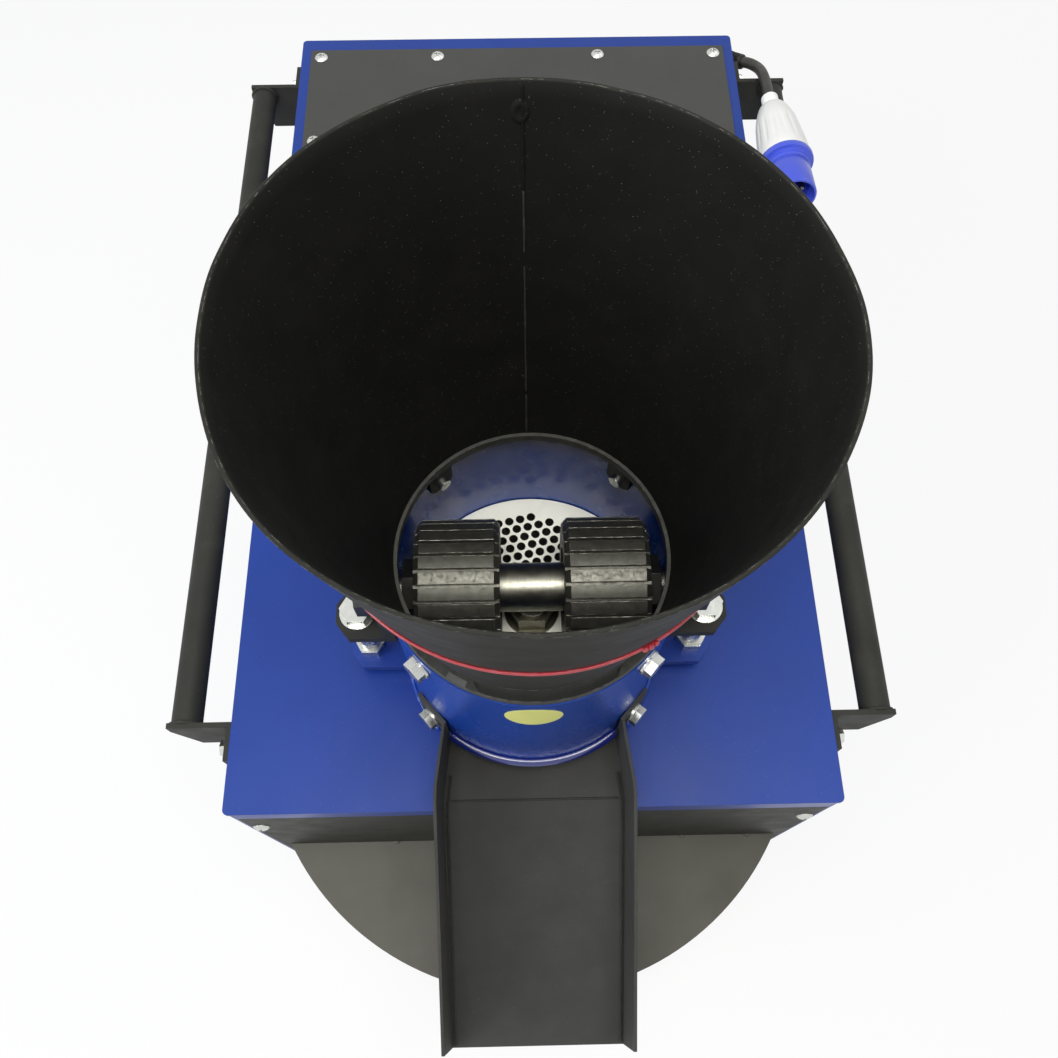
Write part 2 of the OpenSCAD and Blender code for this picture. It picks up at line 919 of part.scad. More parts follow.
module hopper_tabs() {
    color(blue)
        difference() {
            for (a = tab_angles) round_head(a, tab_out - tab_t, ring_base) rotate([0, 0, 90])
                linear_extrude(tab_t)
                    polygon([
                        [-tab_w / 2, 0], [tab_w / 2, 0],
                        [tab_w / 2, -tab_len + tab_chamfer], [tab_w / 2 - tab_chamfer, -tab_len],
                        [-tab_w / 2 + tab_chamfer, -tab_len], [-tab_w / 2, -tab_len + tab_chamfer]
                    ]);
            for (a = tab_angles) round_head(a, tab_out - tab_t - over, hopper_bolt_h)
                cylinder(d = m10_d + 2 * fit, h = tab_t + 2 * over);
        }
}

module hopper_bolts() {
    color(zinc)
        for (a = tab_angles) round_head(a, drum_r, hopper_bolt_h)
            hex_bolt(m10_d, m10_af, m10_head, m10_washer_d, m10_washer_t, hopper_bolt_len);
}

// A strip of the chute's sheet in plan, from p to q, with round ends
module strip(p, q) {
    translate(p) rotate(atan2(q[1] - p[1], q[0] - p[0]))
        translate([0, -chute_t / 2]) square([norm(q - p), chute_t]);
    translate(q) circle(d = chute_t);
}

module chute_wall() {
    linear_extrude(2 * deck_h) {
        strip([wall_x, chute_tip_y - over], [wall_x, chute_fold_y]);
        strip([wall_x, chute_fold_y], [neck_x, chute_neck_y]);
    }
}

module chute_floor_plan() {
    linear_extrude(2 * deck_h)
        polygon([
            [-wall_x, chute_tip_y - over], [wall_x, chute_tip_y - over], [wall_x, chute_fold_y],
            [neck_x, chute_neck_y], [neck_x, head_y], [-neck_x, head_y],
            [-neck_x, chute_neck_y], [-wall_x, chute_fold_y]
        ]);
}

// The chute's side view, drawn across the whole width
module chute_side(points) {
    translate([-box_w / 2, 0, 0]) rotate([90, 0, 90]) linear_extrude(box_w)
        polygon(points);
}

module chute_ear() {
    translate([0, 0, deck_h + ear_low]) linear_extrude(ear_high - ear_low)
        translate(ear_mid) rotate(ear_angle) {
            translate([-ear_len / 2, -chute_t / 2]) square([ear_len, chute_t]);
            translate([-ear_len / 2, 0]) circle(d = chute_t);
        }
}

module chute() {
    color(blue)
        difference() {
            union() {
                intersection() {
                    both_sides() chute_wall();
                    chute_side([
                        [chute_tip_y, chute_tip_z - chute_floor_down], [chute_fold_y, chute_floor_z - chute_t],
                        [head_y, chute_floor_z - chute_t], [head_y, deck_h + chute_neck_h],
                        [chute_neck_y, deck_h + chute_neck_h], [chute_shoulder_y, deck_h + chute_shoulder_h],
                        [chute_tip_y, chute_tip_z + chute_wall_h]
                    ]);
                }
                intersection() {
                    chute_floor_plan();
                    chute_side([
                        [chute_tip_y, chute_tip_z - chute_floor_down], [chute_fold_y, chute_floor_z - chute_t],
                        [head_y, chute_floor_z - chute_t], [head_y, chute_floor_z],
                        [chute_fold_y, chute_floor_z], [chute_tip_y, chute_tip_z]
                    ]);
                }
                both_sides() chute_ear();
            }
            at_head() cylinder(r = drum_r, h = drum_h);
            for (a = [-ear_angle, ear_angle]) round_head(a, drum_r - over, chute_bolt_h)
                cylinder(d = m10_d + 2 * fit, h = chute_t + 2 * over);
        }
}

module chute_bolts() {
    color(zinc)
        for (a = [-ear_angle, ear_angle]) round_head(a, drum_r + chute_t, chute_bolt_h)
            hex_bolt(m10_d, m10_af, m10_head, m10_washer_d, m10_washer_t, chute_bolt_len);
}

module housing_places() {
    for (i = [0:housing_bolt_count - 1])
        at_head() rotate([0, 0, (i + 1 / 2) * 360 / housing_bolt_count])
            translate([housing_bolt_r, 0, 0]) children();
}

module bearing_housing() {
    color(steel)
        difference() {
            union() {
                translate([0, head_y, housing_low]) cylinder(d = housing_d, h = housing_h);
                translate([0, head_y, inner_top - housing_flange_t])
                    cylinder(r = housing_flange_r, h = housing_flange_t);
                translate([0, head_y, inner_top]) cylinder(r = neck_hole_r - fit, h = deck_t);
            }
            translate([0, head_y, housing_low - over])
                cylinder(d = bearing_d, h = housing_h - cap_t + over);
            translate([0, head_y, housing_low]) cylinder(r = lip_r, h = housing_h + deck_t + over);
            housing_places() translate([0, 0, -deck_t - housing_flange_t - over])
                cylinder(d = m10_d + 2 * fit, h = housing_flange_t + 2 * over);
        }
}

module housing_bolts() {
    color(zinc)
        housing_places() {
            hex(m10_af, m10_head);
            translate([0, 0, -deck_t - housing_flange_t])
                cylinder(d = m10_d, h = deck_t + housing_flange_t + eps);
        }
}

// A ball bearing drawn as one ring with a sunk band between its races
module bearing(r_out, r_in, w) {
    rotate_extrude()
        polygon([
            [r_in, 0], [r_in + race_share * (r_out - r_in), 0],
            [r_in + race_share * (r_out - r_in), race_sink], [r_out - race_share * (r_out - r_in), race_sink],
            [r_out - race_share * (r_out - r_in), 0], [r_out, 0],
            [r_out, w], [r_out - race_share * (r_out - r_in), w],
            [r_out - race_share * (r_out - r_in), w - race_sink],
            [r_in + race_share * (r_out - r_in), w - race_sink], [r_in + race_share * (r_out - r_in), w],
            [r_in, w]
        ]);
}

module main_bearings() {
    color(steel) {
        translate([0, head_y, upper_bearing_z]) bearing(bearing_d / 2, shaft_d / 2 + fit, bearing_w);
        translate([0, head_y, housing_low + bearing_in]) bearing(bearing_d / 2, shaft_d / 2 + fit, bearing_w);
    }
}

module main_shaft() {
    color(steel)
        translate([0, head_y, 0]) {
            translate([0, 0, hub_z - pulley_nut_h - nut_show]) cylinder(d = thread_d, h = pulley_nut_h + nut_show + eps);
            translate([0, 0, hub_z]) cylinder(d = pulley_seat_d, h = hub_h);
            translate([0, 0, hub_z + hub_h]) cylinder(d = shaft_d, h = deck_h + die_low - hub_z - hub_h);
            translate([0, 0, housing_low + bearing_in + bearing_w + seat])
                cylinder(d = shaft_body_d, h = upper_bearing_z - housing_low - bearing_in - bearing_w - 2 * seat);
            translate([0, 0, deck_h + collar_low]) cylinder(r = shaft_collar_r, h = thrower_base - collar_low);
            translate([0, 0, deck_h + die_low]) cylinder(d = die_seat_d, h = die_t);
            translate([0, 0, deck_h + die_top - eps])
                cylinder(d = thread_d, h = die_washer_t + die_nut_h + nut_show);
        }
}

module thrower() {
    color(steel)
        at_head(thrower_base) difference() {
            union() {
                cylinder(r = thrower_r, h = thrower_t);
                cylinder(r = thrower_hub_r, h = die_low - thrower_base);
                for (i = [0:vane_count - 1]) rotate([0, 0, vane_turn + i * 360 / vane_count])
                    translate([thrower_hub_r - over, -vane_t / 2, thrower_t])
                        cube([thrower_r - thrower_hub_r, vane_t, vane_h]);
            }
            translate([0, 0, -over]) cylinder(r = shaft_d / 2 + fit, h = die_low + over);
        }
}

hole_rows = floor(hole_r_out / (hole_pitch * sin(60)));
hole_cols = ceil(hole_r_out / hole_pitch) + 1;
hole_places = [for (j = [-hole_rows:hole_rows], i = [-hole_cols:hole_cols])
    let (p = [(i + (j % 2 == 0 ? 0 : 1 / 2)) * hole_pitch, j * hole_pitch * sin(60)])
    if (norm(p) > hole_r_in && norm(p) < hole_r_out) p];

module die() {
    color(steel)
        at_head(die_low) linear_extrude(die_t) difference() {
            circle(r = die_r);
            circle(r = die_seat_d / 2 + fit);
            rotate(hole_turn) for (p = hole_places) translate(p) circle(d = hole_d);
        }
}

module die_nut() {
    color(steel)
        at_head(die_top) difference() {
            union() {
                cylinder(r = die_washer_r, h = die_washer_t);
                translate([0, 0, die_washer_t]) hex(die_nut_af, die_nut_h);
            }
            translate([0, 0, -over]) cylinder(r = thread_d / 2 + fit, h = die_washer_t + die_nut_h + 2 * over);
        }
}

// The half section of a pulley's grooved rim, from its outside inward, around z = 0
function groove_points(r) = [for (i = [belt_count - 1:-1:0])
    let (z = (i - (belt_count - 1) / 2) * belt_pitch)
    each [
        [r, z + belt_w / 2 + groove_play], [r - belt_t - groove_floor, z + belt_w * belt_low_share / 2 + groove_play],
        [r - belt_t - groove_floor, z - belt_w * belt_low_share / 2 - groove_play], [r, z - belt_w / 2 - groove_play]
    ]];

module driven_pulley() {
    color(dark_steel)
        translate([0, head_y, belt_z]) difference() {
            rotate_extrude()
                polygon(concat(
                    [
                        [pulley_seat_d / 2 + fit, -pulley_hub_low], [pulley_hub_r, -pulley_hub_low],
                        [pulley_hub_r, -pulley_web_t / 2], [big_r - pulley_rim_t, -pulley_web_t / 2],
                        [big_r - pulley_rim_t, -rim_h / 2], [big_r, -rim_h / 2]
                    ],
                    [for (i = [len(groove_points(big_r)) - 1:-1:0]) groove_points(big_r)[i]],
                    [
                        [big_r, rim_h / 2], [big_r - pulley_rim_t, rim_h / 2],
                        [big_r - pulley_rim_t, pulley_web_t / 2], [pulley_hub_r, pulley_web_t / 2],
                        [pulley_hub_r, pulley_hub_high], [pulley_seat_d / 2 + fit, pulley_hub_high]
                    ]
                ));
            for (i = [0:pulley_hole_count - 1]) rotate([0, 0, i * 360 / pulley_hole_count])
                translate([pulley_hole_at, 0, -pulley_web_t]) cylinder(r = pulley_hole_r, h = 2 * pulley_web_t);
        }
}

module pulley_nut() {
    color(zinc)
        translate([0, head_y, hub_z - pulley_nut_h]) difference() {
            hex(pulley_nut_af, pulley_nut_h);
            translate([0, 0, -over]) cylinder(r = thread_d / 2 + fit, h = pulley_nut_h + 2 * over);
        }
}

module belt_section() {
    polygon([
        [-belt_back, -belt_w / 2], [-belt_back, belt_w / 2],
        [-belt_back - belt_t, belt_w * belt_low_share / 2], [-belt_back - belt_t, -belt_w * belt_low_share / 2]
    ]);
}

module belt_run(side) {
    rotate([0, 0, side * belt_turn]) translate([side * big_r, 0, 0])
        rotate([-90, 0, 0]) linear_extrude(belt_straight) mirror([side < 0 ? 1 : 0, 0]) belt_section();
}

module v_belt() {
    translate([0, head_y, 0]) {
        rotate([0, 0, 180 - belt_turn]) rotate_extrude(angle = 180 + 2 * belt_turn)
            translate([big_r, 0]) belt_section();
        belt_run(1);
        belt_run(-1);
    }
    translate([0, motor_y, 0]) rotate([0, 0, belt_turn])
        rotate_extrude(angle = 180 - 2 * belt_turn) translate([small_r, 0]) belt_section();
}

module v_belts() {
    color(black) for (z = belt_zs) translate([0, 0, z]) v_belt();
}

module motor_bolt_places() {
    for (i = [0:3]) translate([0, motor_y, 0]) rotate([0, 0, 45 + i * 90])
        translate([motor_bolt_r, 0, 0]) children();
}

module rail_bolt_places() {
    for (s = [-1, 1], t = [-1, 1])
        translate([s * rail_bolt_x, motor_y + t * (rail_y_out + rail_bolt_in), 0]) children();
}

module motor_plate() {
    color(steel)
        difference() {
            translate([-motor_plate_w / 2, motor_y - motor_plate_len / 2, motor_base - motor_plate_t])
                cube([motor_plate_w, motor_plate_len, motor_plate_t]);
            translate([0, motor_y, motor_base - motor_plate_t - over])
                cylinder(r = small_r, h = motor_plate_t + 2 * over);
            motor_bolt_places() translate([0, 0, motor_base - motor_plate_t - over])
                cylinder(d = m12_d + 2 * fit, h = motor_plate_t + 2 * over);
            rail_bolt_places() translate([0, 0, motor_base - motor_plate_t - over])
                cylinder(d = m12_d + 2 * fit, h = motor_plate_t + 2 * over);
        }
}

module motor_bolts() {
    color(zinc) {
        motor_bolt_places() translate([0, 0, motor_base + motor_flange_t]) {
            hex(m12_af, m12_head);
            translate([0, 0, -motor_flange_t - motor_plate_t])
                cylinder(d = m12_d, h = motor_flange_t + motor_plate_t + eps);
        }
        rail_bolt_places() translate([0, 0, motor_base + angle_t]) {
            hex(m12_af, m12_head);
            translate([0, 0, -angle_t - motor_plate_t]) cylinder(d = m12_d, h = angle_t + motor_plate_t + eps);
        }
    }
}

module motor_bells() {
    color(steel)
        translate([0, motor_y, 0]) {
            difference() {
                union() {
                    translate([0, 0, motor_base]) cylinder(r = motor_flange_r, h = motor_flange_t);
                    translate([0, 0, motor_base]) cylinder(r = motor_bell_r, h = motor_flange_t + motor_bell_h);
                }
                translate([0, 0, motor_base - over]) cylinder(r = motor_shaft_d / 2 + seat, h = motor_flange_t + motor_bell_h);
                translate([0, 0, fin_base - motor_bearing_w])
                    cylinder(r = motor_bearing_r, h = motor_bearing_w + over);
                translate([0, -motor_y, 0]) motor_bolt_places() translate([0, 0, motor_base - over])
                    cylinder(d = m12_d + 2 * fit, h = motor_flange_t + 2 * over);
            }
            difference() {
                translate([0, 0, fin_top]) cylinder(r = motor_bell_r, h = motor_top_bell_h);
                translate([0, 0, fin_top - over]) cylinder(r = motor_bearing_r, h = motor_bearing_w + over);
                translate([0, 0, fin_top]) cylinder(r = motor_shaft_d / 2 + seat, h = motor_top_bell_h + over);
            }
        }
}

module motor_body() {
    color(steel)
        translate([0, motor_y, fin_base]) difference() {
            cylinder(r = motor_r, h = motor_fin_h);
            translate([0, 0, -over]) cylinder(r = rotor_r + air_gap, h = motor_fin_h + 2 * over);
            for (z = [-over, motor_fin_h - winding_h]) translate([0, 0, z])
                cylinder(r = motor_r - fin_depth - frame_wall, h = winding_h + over);
            for (i = [0:fin_count - 1]) rotate([0, 0, (i + 1 / 2) * 360 / fin_count])
                translate([motor_r - fin_depth, -fin_gap / 2, -over])
                    cube([fin_depth + over, fin_gap, motor_fin_h + 2 * over]);
        }
}

module fan_cowl() {
    color(black)
        translate([0, motor_y, cowl_base]) difference() {
            cylinder(r = motor_r, h = cowl_h);
            translate([0, 0, -over]) cylinder(r = motor_r - cowl_t, h = cowl_h - cowl_t + over);
            for (i = [0:vent_count - 1]) rotate([0, 0, i * 360 / vent_count])
                translate([vent_in, -vent_w / 2, cowl_h - cowl_t - over]) cube([vent_len, vent_w, cowl_t + 2 * over]);
        }
}

module terminal_box() {
    color(black)
        difference() {
            translate([-motor_r - box_out, motor_y - box_y / 2, fin_base + box_up]) cube([box_out + fin_depth, box_y, box_z]);
            translate([0, motor_y, fin_base]) cylinder(r = motor_r, h = motor_fin_h);
        }
}

module motor_bearings() {
    color(steel)
        translate([0, motor_y, 0]) {
            translate([0, 0, fin_base - motor_bearing_w]) bearing(motor_bearing_r, motor_shaft_d / 2 + fit, motor_bearing_w);
            translate([0, 0, fin_top]) bearing(motor_bearing_r, motor_shaft_d / 2 + fit, motor_bearing_w);
        }
}

module motor_shaft() {
    color(steel)
        translate([0, motor_y, 0]) {
            translate([0, 0, belt_z - rim_h / 2]) cylinder(d = motor_shaft_d, h = fin_top + motor_top_bell_h + fan_up + fan_h - belt_z + rim_h / 2);
            translate([0, 0, fin_base + (motor_fin_h - rotor_h) / 2]) cylinder(r = rotor_r, h = rotor_h);
        }
}

module motor_fan() {
    color(black)
        translate([0, motor_y, fin_top + motor_top_bell_h + fan_up]) difference() {
            union() {
                cylinder(r = fan_hub_r, h = fan_h);
                cylinder(r = fan_r, h = blade_t);
                for (i = [0:blade_count - 1]) rotate([0, 0, fan_turn + i * 360 / blade_count])
                    translate([fan_hub_r - over, -blade_t / 2, blade_t / 2])
                        cube([fan_r - fan_hub_r - over, blade_t, blade_h]);
            }
            translate([0, 0, -over]) cylinder(r = motor_shaft_d / 2 + fit, h = fan_h + 2 * over);
        }
}

module motor_pulley() {
    color(dark_steel)
        translate([0, motor_y, belt_z]) rotate_extrude()
            polygon(concat(
                [[motor_shaft_d / 2 + fit, -rim_h / 2], [small_r, -rim_h / 2]],
                [for (i = [len(groove_points(small_r)) - 1:-1:0]) groove_points(small_r)[i]],
                [[small_r, rim_h / 2], [motor_shaft_d / 2 + fit, rim_h / 2]]
            ));
}

module at_axle() {
    at_head(axis_h) children();
}

module roller_axle() {
    color(steel)
        at_axle() {
            along_x(-carrier_x) cylinder(d = axle_d, h = 2 * carrier_x);
            along_x(-axle_tip) cylinder(d = axle_end_d, h = 2 * axle_tip);
        }
}

module axle_sleeve() {
    color(steel)
        at_axle() along_x(-sleeve_half) ring(sleeve_d / 2, axle_r + fit, 2 * sleeve_half);
}

module axle_nuts() {
    color(zinc)
        both_sides() at_axle() {
            along_x(nut_in) ring(axle_washer_r, axle_r + fit, axle_washer_t);
            along_x(nut_in + axle_washer_t) difference() {
                hex(axle_nut_af, nut_w);
                translate([0, 0, -over]) cylinder(r = axle_r + fit, h = nut_w + 2 * over);
            }
            along_x(carrier_x + carrier_t) difference() {
                hex(end_nut_af, end_nut_w);
                translate([0, 0, -over]) cylinder(r = axle_end_d / 2 + fit, h = end_nut_w + 2 * over);
            }
        }
}

module carrier_plates() {
    color(black)
        both_sides() {
            difference() {
                at_head(upper_lug_h - lug_t) translate([carrier_x, -lug_w / 2, 0])
                    cube([carrier_t, lug_w, axis_h + carrier_high - upper_lug_h + lug_t]);
                at_axle() along_x(carrier_x - over) cylinder(r = axle_end_d / 2 + fit, h = carrier_t + 2 * over);
            }
            difference() {
                lug(upper_lug_h, lug_reach);
                at_head() translate([-drum_d, -drum_d, 0]) cube([drum_d + carrier_x + carrier_t / 2, 2 * drum_d, drum_h]);
            }
        }
}

module roller() {
    difference() {
        rotate_extrude()
            polygon([
                [bearing_hold_r, 0], [roller_r - roller_chamfer, 0], [roller_r, roller_chamfer],
                [roller_r, roller_len - roller_chamfer], [roller_r - roller_chamfer, roller_len],
                [bearing_hold_r, roller_len], [bearing_hold_r, roller_len - bearing_sink - roller_bearing_w],
                [bearing_hold_r - bearing_step, roller_len - bearing_sink - roller_bearing_w],
                [bearing_hold_r - bearing_step, bearing_sink + roller_bearing_w],
                [bearing_hold_r, bearing_sink + roller_bearing_w]
            ]);
        for (i = [0:bar_count - 1]) rotate([0, 0, (i + 1 / 2) * 360 / bar_count])
            translate([roller_r - groove_depth, -groove_w / 2, -over])
                cube([groove_depth + over, groove_w, roller_len + 2 * over]);
    }
}

module roller_bearing_pair() {
    translate([0, 0, bearing_sink]) bearing(roller_bearing_d / 2, axle_r + fit, roller_bearing_w);
    translate([0, 0, roller_len - bearing_sink - roller_bearing_w])
        bearing(roller_bearing_d / 2, axle_r + fit, roller_bearing_w);
}

module left_roller() {
    color(dark_steel) at_axle() along_x(-roller_out) roller();
}

module right_roller() {
    color(dark_steel) at_axle() along_x(roller_in) roller();
}

module left_roller_bearings() {
    color(steel) at_axle() along_x(-roller_out) roller_bearing_pair();
}

module right_roller_bearings() {
    color(steel) at_axle() along_x(roller_in) roller_bearing_pair();
}

module adjuster() {
    at_head(upper_lug_h) translate([adjuster_out, 0, 0])
        hex_bolt(adjuster_d, adjuster_af, adjuster_head, adjuster_washer_d, adjuster_washer_t,
            upper_lug_h - adjuster_tip);
}

module left_adjuster() {
    color(zinc) mirror([1, 0, 0]) adjuster();
}

module right_adjuster() {
    color(zinc) adjuster();
}

// The cord's smooth route through its control points
function bend(a, b, c, d, t) =
    ((2 * b) + (c - a) * t + (2 * a - 5 * b + 4 * c - d) * t * t + (3 * b - a - 3 * c + d) * t * t * t) / 2;
last_point = len(cord_points) - 1;
function cord_point(u) =
    let (i = min(floor(u * last_point), last_point - 1), t = u * last_point - i)
    bend(cord_points[max(i - 1, 0)], cord_points[i], cord_points[i + 1],
        cord_points[min(i + 2, last_point)], t);
function unit(v) = v / norm(v);
cord_us = [for (i = [0:cord_steps]) i / cord_steps];
cord_mids = [for (u = cord_us) cord_point(u)];
cord_dirs = [for (i = [0:cord_steps])
    i == 0 ? unit(cord_mids[1] - cord_mids[0])
    : i == cord_steps ? unit(plug_aim - plug_start)
    : unit(cord_mids[i + 1] - cord_mids[i - 1])];
cord_exit = cord_mids[0] - cord_dirs[0] * (cord_mids[0][0] - side_x) / cord_dirs[0][0];
cord_rims = [for (i = [0:cord_steps])
    let (side = unit(cross(cord_dirs[i], [0, 0, 1])), top = cross(side, cord_dirs[i]))
    [for (k = [0:cord_sides - 1]) let (a = k * 360 / cord_sides)
        cord_mids[i] + cord_d / 2 * (cos(a) * side + sin(a) * top)]];

module power_cord() {
    color(black)
        polyhedron(
            points = [for (rim = cord_rims) each rim],
            faces = concat(
                [[for (k = [0:cord_sides - 1]) k]],
                [[for (k = [cord_sides - 1:-1:0]) cord_steps * cord_sides + k]],
                [for (i = [0:cord_steps - 1], k = [0:cord_sides - 1])
                    let (a = i * cord_sides + k, b = i * cord_sides + (k + 1) % cord_sides)
                    each [[a, a + cord_sides, b + cord_sides], [a, b + cord_sides, b]]]
            )
        );
}

// Turns the Z axis toward d
module aim(p, d) {
    translate(p) rotate([0, acos(d[2] / norm(d)), atan2(d[1], d[0])]) children();
}

module cable_boot() {
    color(black)
        difference() {
            aim(cord_mids[0], -cord_dirs[0]) cylinder(r1 = boot_tip_r, r2 = boot_base_r, h = boot_len);
            translate([-box_w, -box_len, 0]) cube([box_w + side_x, 2 * box_len, 2 * deck_h]);
        }
}

module plug_body() {
    color([0.9, 0.9, 0.88])
        aim(plug_start, plug_aim - plug_start) rotate_extrude()
            polygon([
                [0, 0], [neck_r, 0], [neck_r, 15], [17, 24], [24, 50], [28, 85], [29, collar_at], [0, collar_at]
            ]);
}

module plug_sleeve() {
    color([0.1, 0.25, 0.7])
        aim(plug_start, plug_aim - plug_start) translate([0, 0, collar_at]) difference() {
            union() {
                cylinder(r = collar_r, h = collar_t);
                cylinder(r = sleeve_r, h = collar_t + plug_sleeve_len);
            }
            translate([0, 0, collar_t]) cylinder(r = sleeve_r - plug_sleeve_t, h = plug_sleeve_len + over);
        }
}

module plug_pins() {
    color(steel)
        aim(plug_start, plug_aim - plug_start) translate([0, 0, collar_at + collar_t])
            for (i = [0:2]) rotate([0, 0, i * 360 / 3]) translate([pin_ring, 0, 0])
                cylinder(r = pin_r, h = pin_len);
}

base_frame();
feet();
bottom_sheet();
deck_plate();
front_panel();
rear_panel();
left_side_sheet();
right_side_sheet();
panel_screws();
rear_cover();
cover_screws();
left_handle();
right_handle();
handle_bolts();
pulley_guard();
drum();
window_bead();
lower_lugs();
lock_nuts();
hopper_cone();
hopper_ring();
hopper_tabs();
hopper_bolts();
chute();
chute_bolts();
bearing_housing();
housing_bolts();
main_bearings();
motor_plate();
motor_bolts();
motor_bells();
motor_body();
fan_cowl();
terminal_box();
motor_bearings();
v_belts();
cable_boot();
power_cord();
plug_body();
plug_sleeve();
plug_pins();
main_shaft();
thrower();
die();
die_nut();
driven_pulley();
pulley_nut();
motor_shaft();
motor_fan();
motor_pulley();
roller_axle();
axle_sleeve();
axle_nuts();
carrier_plates();
left_roller();
right_roller();
left_roller_bearings();
right_roller_bearings();
left_adjuster();
right_adjuster();
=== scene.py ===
import math

import bmesh
import bpy
from mathutils import Matrix, Vector, noise


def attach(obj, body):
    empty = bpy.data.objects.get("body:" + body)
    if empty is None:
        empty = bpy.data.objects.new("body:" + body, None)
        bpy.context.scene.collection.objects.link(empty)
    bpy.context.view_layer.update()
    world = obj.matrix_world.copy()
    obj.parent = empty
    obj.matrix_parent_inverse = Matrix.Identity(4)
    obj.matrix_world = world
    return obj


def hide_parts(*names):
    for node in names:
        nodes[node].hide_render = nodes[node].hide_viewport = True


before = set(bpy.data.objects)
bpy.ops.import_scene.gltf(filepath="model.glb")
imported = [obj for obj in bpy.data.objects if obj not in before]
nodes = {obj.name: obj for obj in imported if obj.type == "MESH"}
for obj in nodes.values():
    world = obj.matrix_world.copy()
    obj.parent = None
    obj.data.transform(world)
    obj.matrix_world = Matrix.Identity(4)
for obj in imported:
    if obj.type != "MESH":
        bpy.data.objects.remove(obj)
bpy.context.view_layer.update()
scene = bpy.context.scene
MM = 0.001

# Places shared with the model, in millimetres: the deck's front edge and top, the head's axis, the rollers'
# axle, the outer face of the side sheets and the drum's radius
FRONT = -381.75
DECK = 400.0
HEAD_Y = FRONT + 144
AXIS_Z = DECK + 159.8
SIDE = 270.0
DRUM_R = 109.5


# Camera

# Fitted to the photograph: angles in degrees, the focal length in its pixels, and the place in millimetres
CAM_ANGLES = (65.54, -1.45, 0.29)
FOCAL_PX, PHOTO_PX, SENSOR = 977.5, 1058, 36
CAM_PLACE = (-9.2, FRONT - 129.5, DECK + 870.2)


def make_camera():
    pitch, yaw, roll = [math.radians(a) for a in CAM_ANGLES]
    turn = Matrix.Rotation(yaw, 3, "Z")
    ahead = turn @ Vector((0, math.cos(pitch), -math.sin(pitch)))
    up = turn @ Vector((0, math.sin(pitch), math.cos(pitch)))
    right = turn @ Vector((1, 0, 0))
    side = math.cos(roll) * right + math.sin(roll) * up
    top = -math.sin(roll) * right + math.cos(roll) * up
    data = bpy.data.cameras.new("camera")
    data.sensor_width = SENSOR
    data.lens = SENSOR * FOCAL_PX / PHOTO_PX
    data.clip_start, data.clip_end = 0.01, 50
    cam = bpy.data.objects.new("camera", data)
    scene.collection.objects.link(cam)
    facing = Matrix((side, top, -ahead)).transposed().to_4x4()
    cam.matrix_world = Matrix.Translation(Vector(CAM_PLACE) * MM) @ facing
    scene.camera = cam


make_camera()


# Mesh tools

# Edges that bend by more than this many degrees stay sharp
SPLIT_OVER = 38


def add(name, verts, faces, body="machine"):
    """A mesh object from points in millimetres, riding on a body."""
    mesh = bpy.data.meshes.new(name)
    mesh.from_pydata([Vector(v) * MM for v in verts], [], faces)
    mesh.validate()
    bm = bmesh.new()
    bm.from_mesh(mesh)
    bmesh.ops.recalc_face_normals(bm, faces=bm.faces)
    for f in bm.faces:
        f.smooth = True
    bm.to_mesh(mesh)
    bm.free()
    obj = bpy.data.objects.new(name, mesh)
    scene.collection.objects.link(obj)
    m = obj.modifiers.new("split", "EDGE_SPLIT")
    m.split_angle = math.radians(SPLIT_OVER)
    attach(obj, body)
    return obj


def lathe(profile, n=96, place=Matrix(), closed=True, start=0.0, turn=360.0, wave=None):
    """Points and faces of a profile of (radius, height) turned about Z, then moved by place."""
    whole = abs(turn - 360) < 1e-6
    cols = n if whole else n + 1
    verts, faces = [], []
    m = len(profile)
    for i in range(cols):
        a = math.radians(start + turn * i / n)
        for j, (r, z) in enumerate(profile):
            if wave:
                r, z = wave(a, j, r, z)
            verts.append(place @ Vector((r * math.cos(a), r * math.sin(a), z)))
    for i in range(n):
        b = (i + 1) % cols
        for j in range(m if closed else m - 1):
            k = (j + 1) % m
            faces.append((i * m + j, b * m + j, b * m + k, i * m + k))
    if not whole and closed:
        faces.append(tuple(range(m)))
        faces.append(tuple(n * m + j for j in reversed(range(m))))
    return verts, faces


def at(x, y, z):
    return Matrix.Translation((x, y, z))


HEAD = at(0, HEAD_Y, DECK)


def along(p, q):
    """Turns the Z axis from p toward q."""
    d = Vector(q) - Vector(p)
    return Matrix.Translation(p) @ d.to_track_quat("Z", "Y").to_matrix().to_4x4()


def tube(points, radius, n):
    """A tube round points, with a radius or one for each point."""
    pts = [Vector(p) for p in points]
    verts, faces = [], []
    side = None
    for i, p in enumerate(pts):
        d = (pts[min(i + 1, len(pts) - 1)] - pts[max(i - 1, 0)]).normalized()
        if side is None:
            side = d.cross(Vector((0, 0, 1)))
            if side.length < 1e-3:
                side = d.cross(Vector((1, 0, 0)))
        side = (side - d * side.dot(d)).normalized()
        top = side.cross(d)
        r = radius[i] if isinstance(radius, (list, tuple)) else radius
        for k in range(n):
            a = 2 * math.pi * k / n
            verts.append(p + r * (math.cos(a) * side + math.sin(a) * top))
    for i in range(len(pts) - 1):
        for k in range(n):
            j = (k + 1) % n
            faces.append((i * n + k, i * n + j, (i + 1) * n + j, (i + 1) * n + k))
    faces.append(tuple(range(n)))
    faces.append(tuple((len(pts) - 1) * n + k for k in reversed(range(n))))
    return verts, faces


def joined(parts):
    """One list of points and one of faces from several."""
    verts, faces = [], []
    for v, f in parts:
        base = len(verts)
        verts += list(v)
        faces += [tuple(base + i for i in face) for face in f]
    return verts, faces


